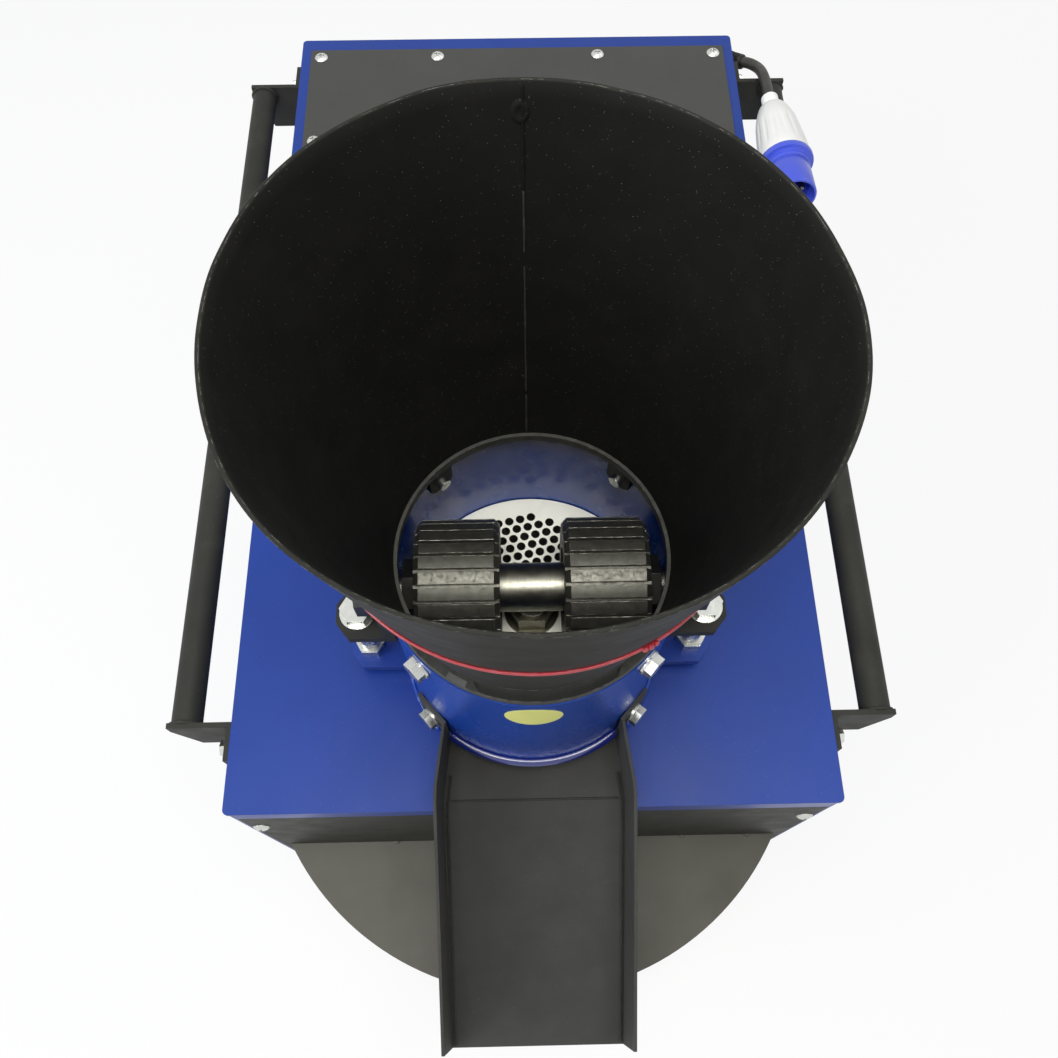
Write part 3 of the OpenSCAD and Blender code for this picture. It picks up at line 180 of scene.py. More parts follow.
def weld(points, radius, step, seed):
    """A weld bead along points, lumpy, with a ripple at each step and thin ends."""
    pts = [Vector(p) for p in points]
    out, radii = [], []
    for a, b in zip(pts, pts[1:]):
        count = max(2, int((b - a).length / (step / 3)))
        for i in range(count):
            out.append(a.lerp(b, i / count))
    out.append(pts[-1])
    run = 0.0
    for i, p in enumerate(out):
        if i:
            run += (p - out[i - 1]).length
        lump = noise.noise(p * 0.12 + Vector((seed, 0, 0))) * 0.35
        ripple = 0.12 * abs(math.sin(math.pi * run / step))
        end = min(1.0, 0.35 + 0.3 * min(i, len(out) - 1 - i))
        radii.append(radius * (1 + lump + ripple) * end)
    return tube(out, radii, 8)


def arc(r, z, a0, a1, n):
    """Points round the head's axis between two angles in degrees."""
    return [(r * math.cos(math.radians(a0 + (a1 - a0) * i / n)),
             HEAD_Y + r * math.sin(math.radians(a0 + (a1 - a0) * i / n)), z) for i in range(n + 1)]


# Power lead and plug

# The lead starts from the deck's rear right corner
CORD_CORNER = Vector((SIDE, 568.25, DECK))
CORD_RUN = [(14, -37, -9), (22, -45, -5), (29, -57, -1), (31, -72, 5), (31, -87, 10), (31, -103, 14),
            (30, -118, 17), (30, -132, 19)]
CORD_POINTS = [CORD_CORNER + Vector(p) for p in CORD_RUN]
PLUG_AIM = CORD_CORNER + Vector((33, -245, 27.7))
CORD_D = 13.0
CORD_IN_PLUG = 24


def smooth_route(pts, steps):
    """A smooth curve through all the points."""
    last = len(pts) - 1
    out = []
    for s in range(steps + 1):
        u = s / steps * last
        i = min(int(u), last - 1)
        t = u - i
        a, b, c, d = pts[max(i - 1, 0)], pts[i], pts[i + 1], pts[min(i + 2, last)]
        out.append((2 * b + (c - a) * t + (2 * a - 5 * b + 4 * c - d) * t * t
                    + (3 * b - a - 3 * c + d) * t ** 3) / 2)
    return out


route = smooth_route(CORD_POINTS, 28)
# The lead runs on into the plug, as far as its clamp
into = (PLUG_AIM - route[-1]).normalized()
route += [route[-1] + into * (CORD_IN_PLUG * k / 3) for k in (1, 2, 3)]
v, f = tube(route, CORD_D / 2, 24)
cord = add("cord", v, f)
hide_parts("power_cord")

plug_place = along(CORD_POINTS[-1], PLUG_AIM)


# Finger ribs: their number and depth, where they start and end along the plug, and over what length they fade
RIBS, RIB_DEEP, RIB_FROM, RIB_TO, RIB_FADE = 16, 0.9, 50, 98, 8


def grip(a, j, r, z):
    """Finger ribs along the widest part of the plug's body."""
    if RIB_FROM <= z <= RIB_TO:
        fade = min(1, (z - RIB_FROM) / RIB_FADE, (RIB_TO - z) / RIB_FADE)
        r -= RIB_DEEP * max(0.0, math.sin(RIBS * a)) * fade
    return r, z


profile = [(6.6, 0), (9.2, 0), (10, 0.8)]
profile += [(10 - 0.9 * (k % 2), 3 + k * 1.5) for k in range(8)]
profile += [(10, 15.5), (13.5, 18.5), (16.8, 23), (19, 29), (21.4, 37), (23.3, 45), (24.2, 50)]
profile += [(24.2 + 3.8 * (k / 10), 50 + 3.6 * k) for k in range(1, 11)]
profile += [(28.5, 92), (28.9, 98), (29, 104), (28.6, 108.6), (27, 109), (0.01, 109)]
v, f = lathe(profile, 128, plug_place, closed=False, wave=grip)
plug = add("plug_shell", v, f)
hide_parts("plug_body")

# Where the sleeve's guide ridge lies round the plug, and how wide it is, in degrees
KEY_AT, KEY_WIDE = 250, 14
profile = [(0.01, 109.1), (29.5, 109.1), (30.6, 109.6), (31, 111), (31, 115), (30.4, 116.6), (29, 117),
           (26.2, 117.4), (25, 118.4), (25, 124), (24.7, 124.6), (25, 125.2), (25, 165.6), (24.4, 166.8),
           (22.6, 167), (22, 166.4), (22, 117.5), (0.01, 117.5)]
v, f = lathe(profile, 96, plug_place, closed=False)
key = lathe([(24.6, 119), (27.3, 119.6), (27.3, 164), (24.6, 165.5)], 10, plug_place, True,
            KEY_AT - KEY_WIDE / 2, KEY_WIDE)
sleeve = add("plug_ring", *joined([(v, f), key]))
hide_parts("plug_sleeve")

PIN_R, PIN_RING = 3.0, 12
pin = [(0.01, 117.6), (PIN_R, 117.6), (PIN_R, 151), (PIN_R - 0.5, 152.6), (PIN_R - 1.2, 153.5), (0.01, 153.6)]
parts = []
for k in range(3):
    a = math.radians(120 * k)
    place = plug_place @ at(PIN_RING * math.cos(a), PIN_RING * math.sin(a), 0)
    parts.append(lathe(pin, 24, place, closed=False))
pins = add("plug_contacts", *joined(parts))
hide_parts("plug_pins")

# Strain relief: a ribbed cone that comes out of the side sheet, straight back from the lead's start
start = CORD_POINTS[0]
place = along(start, start + (start - route[2]).normalized() * 10)
profile = [(6.6, 0.1), (8.2, 0.1), (8.6, 0.6)]
for k in range(6):
    z = 1.6 + k * 2.6
    rib, groove = 8.7 + 0.08 * z, 7.6 + 0.08 * z
    profile += [(rib, z), (rib, z + 1.4), (groove, z + 1.6), (groove, z + 2.4)]
profile += [(10.3, 17.6), (10.6, 19.5)]
v, f = lathe(profile, 48, place, closed=False)
v = [Vector((max(p[0], SIDE), p[1], p[2])) for p in v]
boot = add("cord_boot", v, f)
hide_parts("cable_boot")


# Materials

def material(name, color, rough=0.4, metal=0.0, spec=0.5, vary=0.12, scale=18.0, rough_vary=0.08,
             bump=0.15, bump_scale=700.0, bump_mm=0.05,
             specks=0.0, speck_color=(0.5, 0.48, 0.42), speck_scale=420.0, speck_share=0.57,
             dust_and_sheen=0.0, dust_and_sheen_color=(0.32, 0.29, 0.22), scratch=0.0, coat=0.0, coat_rough=0.08, edge=0.6,
             streak=None, waves=0.0, worn=0.0, worn_color=(0.3, 0.3, 0.3)):
    """A procedural finish: colour and roughness change over the surface, with grain, specks, a dusty film,
    scratches and rounded edges; on the red band the film is partly painted sheen. The scales count per metre;
    edge, waves and bump_mm are in millimetres."""
    m = bpy.data.materials.new(name)
    m.use_nodes = True
    nt = m.node_tree
    bsdf = nt.nodes["Principled BSDF"]
    link = nt.links.new

    def node(kind, **values):
        n = nt.nodes.new(kind)
        for key, value in values.items():
            if key in n.inputs:
                n.inputs[key].default_value = value
            else:
                setattr(n, key.lower(), value)
        return n

    def noise_of(scale_, detail=5.0, rough_=0.55, stretch=None):
        n = node("ShaderNodeTexNoise", Scale=scale_, Detail=detail, Roughness=rough_)
        if stretch:
            mp = node("ShaderNodeMapping")
            mp.inputs["Scale"].default_value = stretch
            link(coord.outputs["Object"], mp.inputs["Vector"])
            link(mp.outputs["Vector"], n.inputs["Vector"])
        else:
            link(coord.outputs["Object"], n.inputs["Vector"])
        return n.outputs["Fac"]

    def ranged(value, a, b, c, d):
        n = node("ShaderNodeMapRange")
        for key, val in zip(("From Min", "From Max", "To Min", "To Max"), (a, b, c, d)):
            n.inputs[key].default_value = val
        link(value, n.inputs["Value"])
        return n.outputs["Result"]

    def mixed(factor, a, b, how="MIX"):
        n = nt.nodes.new("ShaderNodeMix")
        n.data_type, n.blend_type = "RGBA", how
        if isinstance(factor, float):
            n.inputs[0].default_value = factor
        else:
            link(factor, n.inputs[0])
        for key, val in ((6, a), (7, b)):
            if isinstance(val, tuple):
                n.inputs[key].default_value = (*val, 1)
            else:
                link(val, n.inputs[key])
        return n.outputs[2]

    coord = nt.nodes.new("ShaderNodeTexCoord")
    cloud = noise_of(scale)
    low = tuple(c * (1 - vary) for c in color)
    high = tuple(min(1, c * (1 + vary)) for c in color)
    shade = mixed(ranged(cloud, 0.3, 0.7, 0, 1), low, high)
    roughness = ranged(noise_of(scale * 2.3, 6), 0.3, 0.7,
                       max(0.02, rough - rough_vary), min(1, rough + rough_vary))
    if dust_and_sheen:
        film = ranged(noise_of(scale * 1.7, 8, 0.65), 0.5, 0.75, 0, dust_and_sheen)
        shade = mixed(film, shade, dust_and_sheen_color)
        add_node = node("ShaderNodeMath", operation="ADD")
        link(roughness, add_node.inputs[0])
        link(film, add_node.inputs[1])
        roughness = add_node.outputs[0]
    if scratch:
        fine = noise_of(90, 3, 0.5, (1, 26, 1))
        fine2 = noise_of(110, 3, 0.5, (22, 1, 3))
        lines = node("ShaderNodeMath", operation="MAXIMUM")
        link(ranged(fine, 0.70, 0.74, 0, scratch), lines.inputs[0])
        link(ranged(fine2, 0.72, 0.75, 0, scratch), lines.inputs[1])
        shade = mixed(lines.outputs[0], shade, tuple(min(1, c * 1.6 + 0.05) for c in color))
    if specks:
        spots = nt.nodes.new("ShaderNodeTexVoronoi")
        spots.inputs["Scale"].default_value = speck_scale
        link(coord.outputs["Object"], spots.inputs["Vector"])
        near = ranged(spots.outputs["Distance"], 0.04, 0.13, 1, 0)
        some = ranged(noise_of(speck_scale * 0.5, 2), speck_share, speck_share + 0.06, 0, specks)
        both = node("ShaderNodeMath", operation="MULTIPLY")
        link(near, both.inputs[0])
        link(some, both.inputs[1])
        shade = mixed(both.outputs[0], shade, speck_color)
    normal = None
    if edge:
        bevel = node("ShaderNodeBevel", samples=4)
        bevel.inputs["Radius"].default_value = edge * MM
        normal = bevel.outputs["Normal"]
    if worn:
        geo = nt.nodes.new("ShaderNodeNewGeometry")
        dot = node("ShaderNodeVectorMath", operation="DOT_PRODUCT")
        link(geo.outputs["Normal"], dot.inputs[0])
        link(normal, dot.inputs[1])
        bent = ranged(dot.outputs["Value"], 0.97, 0.88, 0, 1)
        chips = ranged(noise_of(160, 4, 0.7), 0.48, 0.6, 0, worn)
        rub = node("ShaderNodeMath", operation="MULTIPLY")
        link(bent, rub.inputs[0])
        link(chips, rub.inputs[1])
        shade = mixed(rub.outputs[0], shade, worn_color)
    height = noise_of(bump_scale, 3)
    if streak:
        lay = noise_of(streak[0], 2, 0.5, streak[1])
        both = node("ShaderNodeMath", operation="ADD")
        link(height, both.inputs[0])
        link(lay, both.inputs[1])
        height = both.outputs[0]
        shade = mixed(ranged(lay, 0.35, 0.65, 0, 0.5), shade, tuple(c * 0.6 for c in color))
    b = node("ShaderNodeBump", Strength=bump, Distance=bump_mm * MM)
    link(height, b.inputs["Height"])
    if normal is not None:
        link(normal, b.inputs["Normal"])
    top = b.outputs["Normal"]
    if waves:
        broad = node("ShaderNodeBump", Strength=1.0, Distance=waves * MM)
        link(noise_of(9, 2), broad.inputs["Height"])
        link(top, broad.inputs["Normal"])
        top = broad.outputs["Normal"]
    link(shade, bsdf.inputs["Base Color"])
    link(roughness, bsdf.inputs["Roughness"])
    link(top, bsdf.inputs["Normal"])
    bsdf.inputs["Metallic"].default_value = metal
    bsdf.inputs["Specular IOR Level"].default_value = spec
    bsdf.inputs["Coat Weight"].default_value = coat
    bsdf.inputs["Coat Roughness"].default_value = coat_rough
    return m


M = {
    "blue": material("paint_blue", (0.0095, 0.044, 0.285), 0.44, spec=0.3, vary=0.10, scale=7, bump=0.12,
                     bump_scale=260, bump_mm=0.08, coat=0.12, coat_rough=0.15, specks=0.7,
                     speck_color=(0.45, 0.5, 0.65), speck_scale=500, scratch=0.05, waves=0.25),
    "drum": material("paint_blue_drum", (0.007, 0.056, 0.36), 0.26, spec=0.3, vary=0.05, bump=0.05,
                     bump_scale=200, bump_mm=0.04, rough_vary=0.03, coat=0.15, coat_rough=0.12, specks=0.3,
                     speck_color=(0.45, 0.5, 0.65)),
    "dark_blue": material("paint_blue_dark", (0.006, 0.014, 0.15), 0.2, vary=0.1, coat=1.0, coat_rough=0.04),
    "black": material("paint_black", (0.027, 0.027, 0.0235), 0.60, spec=0.22, vary=0.15, bump=0.25,
                      bump_scale=900, bump_mm=0.05, specks=0.5, dust_and_sheen=0.05, scratch=0.06, worn=0.6,
                      worn_color=(0.16, 0.15, 0.14)),
    # The cone's outside: a darker copy of the black paint, as painted shade
    "hopper": material("paint_black_hopper_shaded", (0.014, 0.014, 0.0115), 0.62, spec=0.17, vary=0.12, bump=0.25,
                       bump_scale=900, bump_mm=0.05, specks=0.4, dust_and_sheen=0.04, scratch=0.05, worn=1.0,
                       worn_color=(0.30, 0.29, 0.26)),
    "matte": material("paint_black_matte", (0.057, 0.057, 0.054), 0.66, spec=0.12, vary=0.10, bump=0.25,
                      bump_scale=900, bump_mm=0.05, specks=0.5, dust_and_sheen=0.03, scratch=0.05, worn=0.6,
                      worn_color=(0.16, 0.15, 0.14)),
    # Black paint inside the cone, made far darker than the outside as painted shade; its pale specks are dust
    "shaded_inside": material("black_paint_inside_shaded", (0.0056, 0.0056, 0.0048), 0.74, spec=0.2, vary=0.2,
                         bump=0.3, bump_scale=600, bump_mm=0.06, specks=1.0, speck_scale=560,
                         speck_color=(0.34, 0.34, 0.3), speck_share=0.53, dust_and_sheen=0.01, scratch=0.03),
    "seam_line": material("paint_black_seam", (0.045, 0.045, 0.04), 0.5, spec=0.3, vary=0.3, scale=80,
                          edge=0.0),
    "guard": material("paint_black_guard", (0.110, 0.107, 0.090), 0.65, spec=0.3, vary=0.12, scale=10,
                      bump=0.3, bump_scale=800, bump_mm=0.06, specks=0.5, dust_and_sheen=0.08,
                      dust_and_sheen_color=(0.22, 0.21, 0.17), worn=0.4, worn_color=(0.16, 0.15, 0.14)),
    "cover": material("paint_black_cover", (0.043, 0.043, 0.039), 0.40, spec=0.35, vary=0.08, bump=0.15,
                      bump_scale=900, bump_mm=0.04, coat=0.2, coat_rough=0.25, specks=0.5, scratch=0.1),
    "zinc": material("zinc", (0.62, 0.63, 0.60), 0.27, 1.0, vary=0.1, scale=60, bump=0.1, bump_scale=900,
                     bump_mm=0.02, edge=0.5, dust_and_sheen=0.08),
    "bright": material("turned_steel", (0.25, 0.246, 0.205), 0.38, 1.0, vary=0.10, scale=60, bump=0.12,
                       streak=(60, (30, 1, 1)), edge=0.4),
    "shaft": material("turned_steel_shaft", (0.4, 0.39, 0.35), 0.3, 1.0, vary=0.15, scale=60, bump=0.12,
                      streak=(60, (1, 1, 30)), edge=0.4),
    # The die's near-white colour is partly its pale worn face and partly painted light on it
    "die": material("die_steel", (0.96, 0.96, 0.83), 0.5, 0.05, vary=0.08, scale=30, bump=0.15,
                    bump_scale=500, dust_and_sheen=0.1, dust_and_sheen_color=(0.25, 0.22, 0.16), edge=0.5),
    # Near-black hole walls: painted shade inside the die's holes
    "shaded_hole": material("painted_shade_in_holes", (0.035, 0.034, 0.028), 0.5, 0.4, vary=0.2, edge=0.0),
    "ring": material("paint_black_worn", (0.050, 0.050, 0.045), 0.55, spec=0.25, vary=0.25, scale=120,
                     bump=0.4, bump_scale=500, bump_mm=0.15, specks=1.0, speck_scale=620, speck_share=0.50,
                     speck_color=(0.26, 0.26, 0.23), dust_and_sheen=0.2, dust_and_sheen_color=(0.20, 0.195, 0.16), worn=1.0,
                     worn_color=(0.30, 0.29, 0.25)),
    "roller": material("roller_steel", (0.095, 0.094, 0.080), 0.42, 0.8, vary=0.22, scale=150,
                       rough_vary=0.07, bump=0.3, bump_scale=500, bump_mm=0.08, dust_and_sheen=0.25,
                       dust_and_sheen_color=(0.06, 0.055, 0.045), scratch=0.3, edge=0.7, worn=1.0,
                       worn_color=(0.6, 0.59, 0.52)),
    "dark_steel": material("dark_steel", (0.045, 0.044, 0.038), 0.4, 0.7, vary=0.2, scale=70, bump=0.3,
                           bump_scale=500, edge=0.6, worn=0.8, worn_color=(0.35, 0.34, 0.3)),
    "brass": material("nut_steel", (0.085, 0.08, 0.055), 0.34, 0.9, vary=0.2, scale=60, edge=0.6, dust_and_sheen=0.2,
                      dust_and_sheen_color=(0.05, 0.045, 0.03), worn=0.8, worn_color=(0.5, 0.46, 0.34)),
    "iron": material("cast_iron", (0.05, 0.05, 0.052), 0.6, 0.6, vary=0.2, scale=80, bump=0.5, bump_scale=500,
                     bump_mm=0.15, edge=0.8),
    "aluminium": material("cast_aluminium", (0.33, 0.34, 0.36), 0.45, 0.8, vary=0.12, bump=0.4,
                          bump_scale=600, bump_mm=0.1, edge=0.6, dust_and_sheen=0.15),
    "plate": material("plate_steel", (0.30, 0.29, 0.28), 0.42, 0.9, vary=0.2, bump=0.3, edge=0.5, dust_and_sheen=0.2),
    "rubber": material("rubber", (0.014, 0.014, 0.014), 0.62, spec=0.35, vary=0.2, bump=0.35, bump_scale=1100,
                       dust_and_sheen=0.1, edge=0.5),
    "cord": material("cord_rubber", (0.030, 0.028, 0.024), 0.5, spec=0.4, vary=0.15, bump=0.3,
                     bump_scale=1300, dust_and_sheen=0.08, edge=0.0),
    "plastic": material("black_plastic", (0.012, 0.012, 0.012), 0.4, vary=0.1, bump=0.2, edge=0.4),
    "white": material("white_plastic", (0.92, 0.92, 0.90), 0.38, vary=0.02, bump=0.1, bump_scale=900,
                      edge=0.4, dust_and_sheen=0.03, dust_and_sheen_color=(0.6, 0.58, 0.5)),
    "blue_plastic": material("blue_plastic", (0.06, 0.10, 0.68), 0.3, vary=0.05, bump=0.12, bump_scale=900,
                             edge=0.4, coat=0.2),
    "yellow": material("yellow_film", (1.0, 1.0, 0.30), 0.35, vary=0.03, bump=0.05, coat=0.3, edge=0.0,
                       dust_and_sheen=0.04, dust_and_sheen_color=(0.6, 0.55, 0.25)),
    # The red band's pale pink film is partly wear and partly painted highlight along the band
    "red": material("red_film", (0.50, 0.035, 0.05), 0.35, vary=0.15, scale=60, bump=0.1, coat=0.3, edge=0.0,
                    dust_and_sheen=0.5, dust_and_sheen_color=(0.62, 0.25, 0.30)),
    "primer": material("primer", (0.12, 0.12, 0.115), 0.6, vary=0.2, bump=0.4, edge=0.3),
}


def finish_of(obj, key):
    obj.data.materials.clear()
    obj.data.materials.append(M[key])


# The same for the model's own meshes
CAD_SPLIT_OVER = 32


def dress(key, *names):
    """Gives CAD nodes their finish and clean smooth shading."""
    for name in names:
        obj = nodes[name]
        finish_of(obj, key)
        for p in obj.data.polygons:
            p.use_smooth = True
        w = obj.modifiers.new("weld", "WELD")
        w.merge_threshold = 0.02 * MM
        s = obj.modifiers.new("split", "EDGE_SPLIT")
        s.split_angle = math.radians(CAD_SPLIT_OVER)


finish_of(cord, "cord")
finish_of(boot, "rubber")
finish_of(plug, "white")
finish_of(sleeve, "blue_plastic")
finish_of(pins, "bright")

dress("blue", "deck_plate", "left_side_sheet", "right_side_sheet", "lower_lugs", "base_frame")
dress("drum", "drum")
dress("dark_blue", "window_bead")
dress("black", "front_panel", "rear_panel", "left_handle", "right_handle", "bottom_sheet",
      "hopper_tabs", "carrier_plates", "fan_cowl", "terminal_box")
dress("matte", "chute")
dress("ring", "hopper_ring")
dress("guard", "pulley_guard")
dress("cover", "rear_cover")
dress("zinc", "panel_screws", "cover_screws", "handle_bolts", "hopper_bolts", "chute_bolts", "housing_bolts",
      "motor_bolts", "lock_nuts", "pulley_nut", "left_adjuster", "right_adjuster")
dress("dark_steel", "axle_nuts")
dress("bright", "axle_sleeve")
dress("shaft", "main_shaft", "motor_shaft", "roller_axle", "thrower", "main_bearings", "motor_bearings",
      "left_roller_bearings", "right_roller_bearings")
dress("die", "die")
# The holes' walls get a near-black colour as painted shade inside the holes
nodes["die"].data.materials.append(M["shaded_hole"])
for p in nodes["die"].data.polygons:
    if abs(p.normal.z) < 0.5:
        p.material_index = 1
dress("roller", "left_roller", "right_roller")
dress("brass", "die_nut")
dress("iron", "bearing_housing", "driven_pulley", "motor_pulley")
dress("aluminium", "motor_body", "motor_bells")
dress("plate", "motor_plate")
dress("rubber", "feet", "v_belts")
dress("plastic", "motor_fan")


# Hopper

# The cone's outer radius at its foot and its rim, its height, and the seat ring's top above the deck
CONE_LOW, CONE_HIGH, CONE_H, RING_TOP = 101.5, 154.0, 274.0, 227.0
CONE_T = 2.5
RIM_Z = RING_TOP + CONE_H


def cone_r(z):
    """The cone's outer radius at a height above the deck."""
    return CONE_LOW + (CONE_HIGH - CONE_LOW) * (z - RING_TOP) / CONE_H


# The sheet's seam, as an angle round the head
SEAM_AT = 91.2
# How far the rim stands out of round, in millimetres, at angles round the head
ROUND_OFF = ((0, 0.2), (15, -0.8), (30, -0.2), (50, 0.8), (70, 0.8), (80, 2.2), (85, 2.9), (91, 3.4),
             (97, 4.1), (103, 5.2), (110, 6.0), (120, 5.4), (135, 5.2), (150, 4.6), (165, 3.3), (180, 2.2),
             (195, 1.8), (215, 2.2), (240, 1.2), (270, 0), (300, 0), (330, 0.3), (345, 0.8), (360, 0.2))


def bulge(a, z):
    """How far the rolled sheet stands out of round at an angle and a height, growing towards the rim."""
    deg = math.degrees(a) % 360
    for (a0, r0), (a1, r1) in zip(ROUND_OFF, ROUND_OFF[1:]):
        if a0 <= deg <= a1:
            t = (deg - a0) / (a1 - a0)
            off = r0 + (r1 - r0) * t * t * (3 - 2 * t)
    return (z - RING_TOP) / CONE_H * (0.5 * math.sin(2 * a + 0.6) + 0.25 * math.sin(5 * a + 1.1) - 0.7 + off)


def hopper():
    inner = [(cone_r(z) - CONE_T, z) for z in (227, 240, 300, 360, 430, 490, 500.3)]
    outer = [(cone_r(z), z) for z in (500.6, 490, 430, 360, 300, 240, 227)]
    rim = [(cone_r(RIM_Z) - CONE_T + 0.6, RIM_Z), (cone_r(RIM_Z) - 0.6, RIM_Z)]
    profile = inner + rim + outer

    def wave(a, j, r, z):
        """The rolled sheet isn't quite round, and its cut rim isn't quite level."""
        r += bulge(a, z)
        if z > 495:
            z -= 0.35 + 0.35 * math.sin(7 * a) * math.sin(3 * a + 1)
        return r, z

    obj = add("hopper_shell", *lathe(profile, 256, HEAD, wave=wave))
    obj.data.materials.append(M["hopper"])
    # The inner faces take the darker black, which is painted shade inside the cone
    obj.data.materials.append(M["shaded_inside"])
    for p in obj.data.polygons:
        if all(i % len(profile) < len(inner) for i in p.vertices):
            p.material_index = 1
    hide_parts("hopper_cone")


hopper()


def seam(name, inside, spans, size, key):
    """The welded joint of the rolled sheet, as low ridges between the given heights."""
    parts = []
    a = math.radians(SEAM_AT)
    for z0, z1 in spans:
        pts = []
        n = max(4, int((z1 - z0) / 4.5))
        for i in range(n):
            z = z0 + (z1 - z0) * i / (n - 1)
            r = cone_r(z) + (-2.7 if inside else -0.1) + bulge(a, z)
            wob = 0.35 * noise.noise(Vector((z * 0.07, 0, 5)))
            pts.append((r * math.cos(a) + wob, HEAD_Y + r * math.sin(a), DECK + z))
        parts.append(weld(pts, size, 2.0, 3.0))
    o = add(name, *joined(parts))
    finish_of(o, key)


seam("hopper_seam_in", True, ((228.5, 268), (271, 381), (391, 435)), 0.62, "seam_line")
seam("hopper_seam_low", True, ((435, 498.5),), 0.7, "shaded_inside")
seam("hopper_seam_out", False, ((228.5, 498.5),), 1.3, "hopper")


def rim_spot():
    """The dimpled weld spot inside the rim, where the rolled sheet was first tacked."""
    rows = []
    z0, a0, n = 483, math.radians(SEAM_AT + 0.5), 24
    for rad, lift in ((0, 0.5), (1.6, 0.4), (2.6, 0.9), (3.6, 1.1), (4.8, 0.5), (6, -0.4)):
        row = []
        for k in range(n):
            t = 2 * math.pi * k / n
            z = z0 + 1.35 * rad * math.sin(t)
            a = a0 + rad * math.cos(t) / cone_r(z)
            r = cone_r(z) - CONE_T - lift + bulge(a, z)
            row.append((r * math.cos(a), HEAD_Y + r * math.sin(a), DECK + z))
        rows.append(row)
    verts = [p for row in rows for p in row]
    faces = [(i * n + k, i * n + (k + 1) % n, (i + 1) * n + (k + 1) % n, (i + 1) * n + k)
             for i in range(len(rows) - 1) for k in range(n)]
    o = add("hopper_spot", verts, faces)
    finish_of(o, "shaded_inside")


rim_spot()

# Thin red band tied round the cone, with its knot at the front right
BAND_Z, BAND_R, KNOT_AT = 362, 1.15, -62
ring = []
for k in range(181):
    a = math.radians(2 * k + KNOT_AT)
    z = BAND_Z + 0.7 * math.sin(a * 2 + 1) + 0.3 * noise.noise(Vector((k * 0.2, 0, 0)))
    r = cone_r(z) + bulge(a, z) + 0.9
    ring.append((r * math.cos(a), HEAD_Y + r * math.sin(a), DECK + z))
band = [tube(ring, BAND_R, 10)]
knot_r = cone_r(BAND_Z) + 1.6
for k, size in ((-1.2, 1.9), (0.4, 2.3), (1.9, 1.7)):
    a = math.radians(KNOT_AT + k)
    p = [(knot_r * math.cos(a + d), HEAD_Y + knot_r * math.sin(a + d), DECK + BAND_Z + d * 60)
         for d in (-0.012, 0, 0.012)]
    band.append(tube(p, [size * 0.6, size, size * 0.6], 12))
o = add("hopper_line", *joined(band))
finish_of(o, "red")


def fillet(a0, a1):
    """A run of the weld between cone and seat ring, between two angles."""
    profile = [(cone_r(227.1) - 0.3, 226.9), (108.1, 226.9), (107.7, 227.7), (106.2, 229.0), (104.9, 231.2),
               (cone_r(236) + 0.9, 236), (cone_r(242) - 0.1, 242)]

    def wave(a, j, r, z):
        d = math.degrees(a)
        end = min(1.0, 0.25 + min(d - a0, a1 - d) / 5)
        if 0 < j < 6:
            lump = noise.noise(Vector((d * 0.25, j * 0.4, 3))) * 0.5 + 0.12 * math.sin(d * 2.1)
            r = cone_r(z) - 0.4 + (r - cone_r(z) + 0.4) * end + lump * 0.6
            z = 227 + (z - 227) * end
        return r, z

    return lathe(profile, int((a1 - a0) * 1.5), HEAD, True, a0, a1 - a0, wave)


o = add("hopper_weld", *joined([fillet(246, 305), fillet(-30, 28), fillet(62, 118), fillet(152, 208)]))
finish_of(o, "hopper")

# A lighter patch of bare primer on the seat ring, front left
v, f = lathe([(103.6, 227.0), (108.3, 227.0), (108.2, 227.3), (103.8, 227.3)], 12, HEAD, True, 236, 8)
o = add("ring_patch", v, f)
finish_of(o, "primer")


# Drum, handles and chute

def label():
    """The oval label on the drum's front, left plain: rings of points on the drum, and a thin edge."""
    n, rings = 48, 5
    half_w, half_h = 21.0, 21.5
    mid_u, mid_z = -1, DECK + 189
    verts, faces = [], []

    def oval(s, lift):
        for i in range(n):
            a = 2 * math.pi * i / n
            b = math.radians(-90) + (mid_u + half_w * s * math.cos(a)) / DRUM_R
            r = DRUM_R + lift
            verts.append((r * math.cos(b), HEAD_Y + r * math.sin(b), mid_z + half_h * s * math.sin(a)))

    for j in range(rings + 1):
        oval(j / rings, 0.16 if j < rings else 0.1)
    oval(1.0, 0.0)
    for j in range(rings + 1):
        for i in range(n):
            k = (i + 1) % n
            faces.append((j * n + i, j * n + k, (j + 1) * n + k, (j + 1) * n + i))
    o = add("drum_label", verts, faces)
    finish_of(o, "yellow")


label()

# The drum's weld to the deck, and those under and over its lower lugs
beads = [weld(arc(DRUM_R + 1.6, DECK + 1.4, -42, 222, 150), 2.6, 3.0, 1.0)]
for s, mid in ((-1, 180), (1, 0)):
    for z, off in ((16, -1.2), (25, 1.2)):
        beads.append(weld(arc(DRUM_R + 1.2, DECK + z + off, mid - 11, mid + 11, 12), 2.0, 2.8, 2.0 + s + z))
o = add("drum_welds", *joined(beads))
finish_of(o, "drum")

# The handles' welds: round each tube's ends, and along each bracket's foot
TUBE_X, TUBE_DOWN, TUBE_R, FOOT_X = 315, 16, 14.6, 275.6
beads = []
for s in (-1, 1):
    for y, d in ((FRONT + 82, 0.9), (FRONT + 871, -0.9)):
        ring = [(s * TUBE_X + TUBE_R * math.cos(a), y + d, DECK - TUBE_DOWN + TUBE_R * math.sin(a))
                for a in [2 * math.pi * k / 40 for k in range(41)]]
        beads.append(weld(ring, 1.6, 2.6, y))
    for y, d in ((FRONT + 77, -0.3), (FRONT + 876, 0.3)):
        beads.append(weld([(s * FOOT_X, y + d, DECK - 4 - k * 7) for k in range(9)], 1.6, 2.6, y + s))
o = add("handle_welds", *joined(beads))
finish_of(o, "black")

